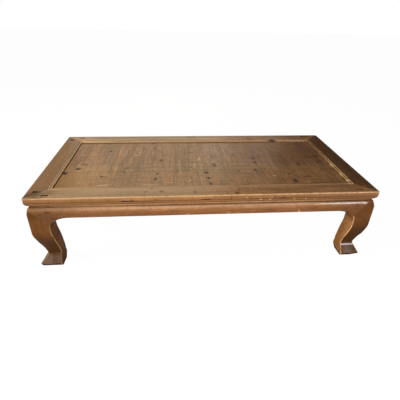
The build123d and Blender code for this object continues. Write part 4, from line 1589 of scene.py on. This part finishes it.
def leg_wood(colours):
    """Finish of the legs: upright grain, painted shade towards the foot, on the right legs and under the
    cusp, painted light on the right legs' inner faces, light rubbed arrises.
    """
    finish = Finish("leg wood", gloss=0.06, coat=0.10, coat_roughness=0.2)
    figure, fibre = wood_grain(finish, "Z", 13.0)
    at = LegPlaces(finish)
    dark = colours.leg_dark
    finish.ground(figure.ease(0.30, 0.74, 0.1, 0.75), colours.leg_light, dark)
    flecked(finish, fibre, (0.45, 0.80, 0.35, dark))
    patches = finish.place.noise(14.0, 4.0)
    flecked(finish, patches, (0.42, 0.70, 0.7, dark))
    # painted shade: the right legs darker
    finish.lay(at.right_hand * 0.45, dark)
    block = tinted(colours.apron_light, 0.55)
    flecked(finish, finish.z, (358.5 * MM, 360.5 * MM, 0.8, block))
    # painted shade: darker towards the foot, reaching higher on the right legs
    upper = finish.z - at.right_hand * (30 * MM)
    finish.lay(upper.ease(130 * MM, 230 * MM, 0.80, 0.0), colours.grime_and_shade)
    inner_faces_lit_and_shaded(finish, colours, at, patches)
    shoulder = abs(finish.x).ease(0.82, 0.88) * finish.z.ease(0.28, 0.33, 0.0, 0.55)
    finish.lay(shoulder, dark)
    pale = (0.40, 0.28, 0.40, colours.leg_pale_and_lit)
    flecked(finish, speckle(finish, 42.0), (0.50, 0.64, 0.50, dark), pale)
    foot_dust_sheen_and_crease(finish, colours, at, figure)
    worn_arrises(finish, colours, at)
    finish.rough(figure.ease(0.3, 0.7, 0.42, 0.58))
    raised_grain(finish, figure, fibre, 0.35)
    return finish.done()


def end_grain_wood(colours, name, fade):
    """Finish of tenon ends and wedges: dark, open end grain, faded towards the frame's colour."""
    finish = Finish(f"end grain {name}", roughness=0.7)
    rings = finish.place.noise(220.0, 3.0)
    pale = tuple(c + (f - c) * fade for c, f in zip(colours.end_grain, colours.frame_dark))
    finish.ground(rings.ease(0.35, 0.7, 0.0, 0.5), pale, colours.grime_and_shade)
    flecked(finish, finish.place.noise(60.0, 3.0), (0.5, 0.8, 0.4, colours.frame_dark))
    finish.bump(rings, 0.5)
    return finish.done()


def batten_wood(colours):
    """Finish of the battens under the top: dry, sawn, unfinished."""
    finish = Finish("batten wood", roughness=0.8)
    figure, fibre = wood_grain(finish, "Y", 17.0)
    finish.ground(figure.ease(0.3, 0.75), colours.batten, colours.leg_dark)
    flecked(finish, fibre, (0.45, 0.8, 0.5, colours.leg_dark))
    finish.bump(figure + fibre, 0.4)
    return finish.done()


# ---- operators ---------------------------------------------------------------------------


class KANG_OT_frame(bpy.types.Operator):
    """Makes the four mitred rails of the frame"""

    bl_idname = "kang.frame"
    bl_label = "Frame rails"

    def execute(self, context):
        sizes, colours = context.scene.kang_sizes, context.scene.kang_colours
        finishes = {axis: frame_wood(sizes, colours, axis) for axis in "XY"}
        for side in SIDES:
            bm = build_rail(sizes, side)
            finish = finishes[side_axis(side)]
            add_piece(bm, f"{side}_rail", finish, [f"{side}_frame_rail"])
        return {"FINISHED"}


class KANG_OT_panel(bpy.types.Operator):
    """Makes the three boards of the floating panel"""

    bl_idname = "kang.panel"
    bl_label = "Panel boards"

    def execute(self, context):
        sizes, colours = context.scene.kang_sizes, context.scene.kang_colours
        front = -sizes.depth / 2 + sizes.rail_width
        first = front + sizes.front_board
        second = first + sizes.middle_board
        boards = {
            "front": (-math.inf, first),
            "middle": (first, second),
            "back": (second, math.inf),
        }
        for seed, (name, seams) in enumerate(boards.items()):
            bm = build_board(sizes, seams, seed)
            finish = panel_wood(sizes, colours, name, 20.0 + 3 * seed)
            add_piece(bm, f"{name}_board", finish, [f"{name}_panel_board"])
        return {"FINISHED"}


class KANG_OT_apron(bpy.types.Operator):
    """Makes the four waist strips and the four bulging aprons"""

    bl_idname = "kang.apron"
    bl_label = "Waist and aprons"

    def execute(self, context):
        sizes, colours = context.scene.kang_sizes, context.scene.kang_colours
        finishes = {axis: apron_wood(colours, axis) for axis in "XY"}
        for side in SIDES:
            finish = finishes[side_axis(side)]
            bm = build_waist(sizes, side)
            add_piece(bm, f"{side}_waist_strip", finish, [f"{side}_waist"])
            bm = build_apron(sizes, side)
            add_piece(bm, f"{side}_bulged_apron", finish, [f"{side}_apron"])
        return {"FINISHED"}


# how far the end grain has faded to the colour of the frame
TENON_FADES = {"front_left": 0.0, "front_right": 0.85, "back_left": 0.2, "back_right": 0.3}
WEDGE_FADE = 0.5


class KANG_OT_legs(bpy.types.Operator):
    """Makes the four legs and the ends of their tenons"""

    bl_idname = "kang.legs"
    bl_label = "Legs and tenon ends"

    def execute(self, context):
        sizes, colours = context.scene.kang_sizes, context.scene.kang_colours
        finish = leg_wood(colours)
        for corner, fade in TENON_FADES.items():
            bm = build_leg(sizes, corner)
            add_piece(bm, f"{corner}_shaped_leg", finish, [f"{corner}_leg"])
            ends = end_grain_wood(colours, corner, fade)
            bm = build_tenon_ends(sizes, corner)
            add_piece(bm, f"{corner}_tenon_ends", ends)
        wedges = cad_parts["leg_tenon_wedges"]
        give_finish(wedges, end_grain_wood(colours, "wedges", WEDGE_FADE))
        return {"FINISHED"}


def give_finish(node, material):
    """Puts one material on a piece that comes from the solid model."""
    node.data.materials.clear()
    node.data.materials.append(material)


class KANG_OT_battens(bpy.types.Operator):
    """Finishes the four battens under the panel"""

    bl_idname = "kang.battens"
    bl_label = "Battens"

    def execute(self, context):
        material = batten_wood(context.scene.kang_colours)
        for name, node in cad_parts.items():
            if name.startswith("panel_batten"):
                give_finish(node, material)
        return {"FINISHED"}


class KANG_OT_stage(bpy.types.Operator):
    """Sets the floor, the soft lamps and the camera"""

    bl_idname = "kang.stage"
    bl_label = "Stage"

    def execute(self, context):
        lay_floor()
        hang_lamps()
        light_room(context.scene)
        set_camera(context.scene)
        context.scene.view_settings.view_transform = "Standard"
        return {"FINISHED"}


def mix_for_camera(tree, share, surface, seen):
    """A share of one shader over another, only where the camera sees it directly."""
    path = tree.nodes.new("ShaderNodeLightPath")
    part = tree.nodes.new("ShaderNodeMath")
    part.operation = "MULTIPLY"
    part.inputs[1].default_value = share
    blend = tree.nodes.new("ShaderNodeMixShader")
    tree.links.new(path.outputs["Is Camera Ray"], part.inputs[0])
    tree.links.new(part.outputs[0], blend.inputs["Fac"])
    tree.links.new(surface.outputs[0], blend.inputs[1])
    tree.links.new(seen.outputs[0], blend.inputs[2])
    return blend.outputs["Shader"]


# floor: grey under the lamps, and a white glow over it for the camera
FLOOR_SIZE = 20.0
FLOOR_GREY = (0.5, 0.5, 0.5, 1.0)
FLOOR_GLOW = 1.05
FLOOR_GLOW_SHARE = 0.93
# room: a faint cool light, and white for the camera
ROOM_LIGHT = (0.95, 0.97, 1.0, 1.0)
ROOM_STRENGTH = 0.08
WHITE = (1.0, 1.0, 1.0, 1.0)


def lay_floor():
    """A wide white floor that keeps a faint shadow."""
    bm = bmesh.new()
    bmesh.ops.create_grid(bm, x_segments=1, y_segments=1, size=FLOOR_SIZE)
    mesh = bpy.data.meshes.new("floor")
    bm.to_mesh(mesh)
    bm.free()
    floor = bpy.data.objects.new("floor", mesh)
    bpy.context.collection.objects.link(floor)
    material = bpy.data.materials.new("floor white")
    material.use_nodes = True
    tree = material.node_tree
    surface = tree.nodes["Principled BSDF"]
    surface.inputs["Base Color"].default_value = FLOOR_GREY
    surface.inputs["Roughness"].default_value = 0.9
    surface.inputs["Specular IOR Level"].default_value = 0.0
    glow = tree.nodes.new("ShaderNodeEmission")
    glow.inputs["Strength"].default_value = FLOOR_GLOW
    shader = mix_for_camera(tree, FLOOR_GLOW_SHARE, surface, glow)
    tree.links.new(shader, tree.nodes["Material Output"].inputs["Surface"])
    mesh.materials.append(material)


def light_room(scene):
    """A white world that gives hardly any light."""
    world = bpy.data.worlds.new("white room")
    world.use_nodes = True
    tree = world.node_tree
    ambient = tree.nodes["Background"]
    ambient.inputs["Color"].default_value = ROOM_LIGHT
    ambient.inputs["Strength"].default_value = ROOM_STRENGTH
    white = tree.nodes.new("ShaderNodeBackground")
    white.inputs["Color"].default_value = WHITE
    shader = mix_for_camera(tree, 1.0, ambient, white)
    tree.links.new(shader, tree.nodes["World Output"].inputs["Surface"])
    scene.world = world


UNMIRRORED_LAMP = "side_lamp"
# soft lamps: name, place, what it faces, width, height, power in watts, colour
LAMPS = (
    ("window_lamp", (-0.55, 3.4, 1.95), (-0.3, 0.0, 0.4), 2.6, 1.8, 25.0, (1.0, 0.88, 0.62)),
    ("window_edge_lamp", (1.0, 3.4, 1.6), (0.4, 0.0, 0.4), 1.2, 1.0, 4.5, (1.0, 0.90, 0.70)),
    ("left_lamp", (-2.2, -0.4, 2.2), (-0.4, 0.0, 0.4), 1.4, 1.4, 38.0, (1.0, 0.98, 0.95)),
    ("side_lamp", (-7.0, -1.2, 1.0), (0.6, -0.4, 0.2), 2.4, 1.6, 640.0, (1.0, 0.97, 0.92)),
    ("front_lamp", (0.0, -3.2, 1.7), (0.0, 0.0, 0.3), 4.4, 2.4, 62.0, (1.0, 0.98, 0.95)),
    ("low_lamp", (0.0, -3.0, 0.6), (0.0, 0.0, 0.3), 3.0, 1.0, 16.0, (1.0, 0.97, 0.93)),
    ("right_lamp", (1.60, -1.99, 0.66), (0.72, -0.43, 0.35), 0.5, 0.26, 13.0, (0.95, 0.93, 1.0)),
)


def hang_lamps():
    """Large soft lamps. The far lamp at the side isn't mirrored in the lacquer."""
    for name, place, target, width, tall, power, tint in LAMPS:
        lamp = bpy.data.lights.new(name, "AREA")
        lamp.shape = "RECTANGLE"
        lamp.size = width
        lamp.size_y = tall
        lamp.energy = power
        lamp.color = tint
        holder = bpy.data.objects.new(name, lamp)
        bpy.context.collection.objects.link(holder)
        holder.location = place
        aim = Vector(target) - Vector(place)
        holder.rotation_euler = aim.to_track_quat("-Z", "Y").to_euler()
        holder.visible_camera = False
        holder.visible_glossy = name != UNMIRRORED_LAMP


# camera: place in metres, angles in degrees, lens and sensor in millimetres
CAMERA_PLACE = (-0.1689, -1.8670, 1.2278)
CAMERA_PITCH = 30.231
CAMERA_YAW = 5.160
CAMERA_ROLL = 1.347
CAMERA_LENS = 29.690
CAMERA_SENSOR = 36.0


def set_camera(scene):
    """The camera that shows the table from a standing eye."""
    camera = bpy.data.cameras.new("camera")
    camera.sensor_width = CAMERA_SENSOR
    camera.lens = CAMERA_LENS
    holder = bpy.data.objects.new("camera", camera)
    bpy.context.collection.objects.link(holder)
    upright = Matrix.Rotation(math.radians(90 - CAMERA_PITCH), 4, "X")
    turned = Matrix.Rotation(math.radians(-CAMERA_YAW), 4, "Z")
    rolled = Matrix.Rotation(math.radians(CAMERA_ROLL), 4, "Z")
    holder.matrix_world = Matrix.Translation(CAMERA_PLACE) @ turned @ upright @ rolled
    scene.camera = holder


class KANG_PT_table(bpy.types.Panel):
    """Sizes, colours and pieces of the kang table"""

    bl_idname = "KANG_PT_table"
    bl_label = "Kang table"
    bl_space_type = "VIEW_3D"
    bl_region_type = "UI"
    bl_category = "Kang table"

    def draw(self, context):
        layout = self.layout
        for group in (context.scene.kang_sizes, context.scene.kang_colours):
            column = layout.column(align=True)
            for name in group.__annotations__:
                column.prop(group, name)
        column = layout.column(align=True)
        for operator in OPERATORS:
            column.operator(operator.bl_idname)


OPERATORS = (
    KANG_OT_frame,
    KANG_OT_panel,
    KANG_OT_apron,
    KANG_OT_legs,
    KANG_OT_battens,
    KANG_OT_stage,
)
CLASSES = (KangTableSizes, KangTableColours, *OPERATORS, KANG_PT_table)


def register():
    for cls in CLASSES:
        bpy.utils.register_class(cls)
    bpy.types.Scene.kang_sizes = bpy.props.PointerProperty(type=KangTableSizes)
    bpy.types.Scene.kang_colours = bpy.props.PointerProperty(type=KangTableColours)


def unregister():
    del bpy.types.Scene.kang_colours
    del bpy.types.Scene.kang_sizes
    for cls in reversed(CLASSES):
        bpy.utils.unregister_class(cls)


def main():
    register()
    bpy.ops.kang.frame()
    bpy.ops.kang.panel()
    bpy.ops.kang.apron()
    bpy.ops.kang.legs()
    bpy.ops.kang.battens()
    bpy.ops.kang.stage()


if __name__ == "__main__":
    main()
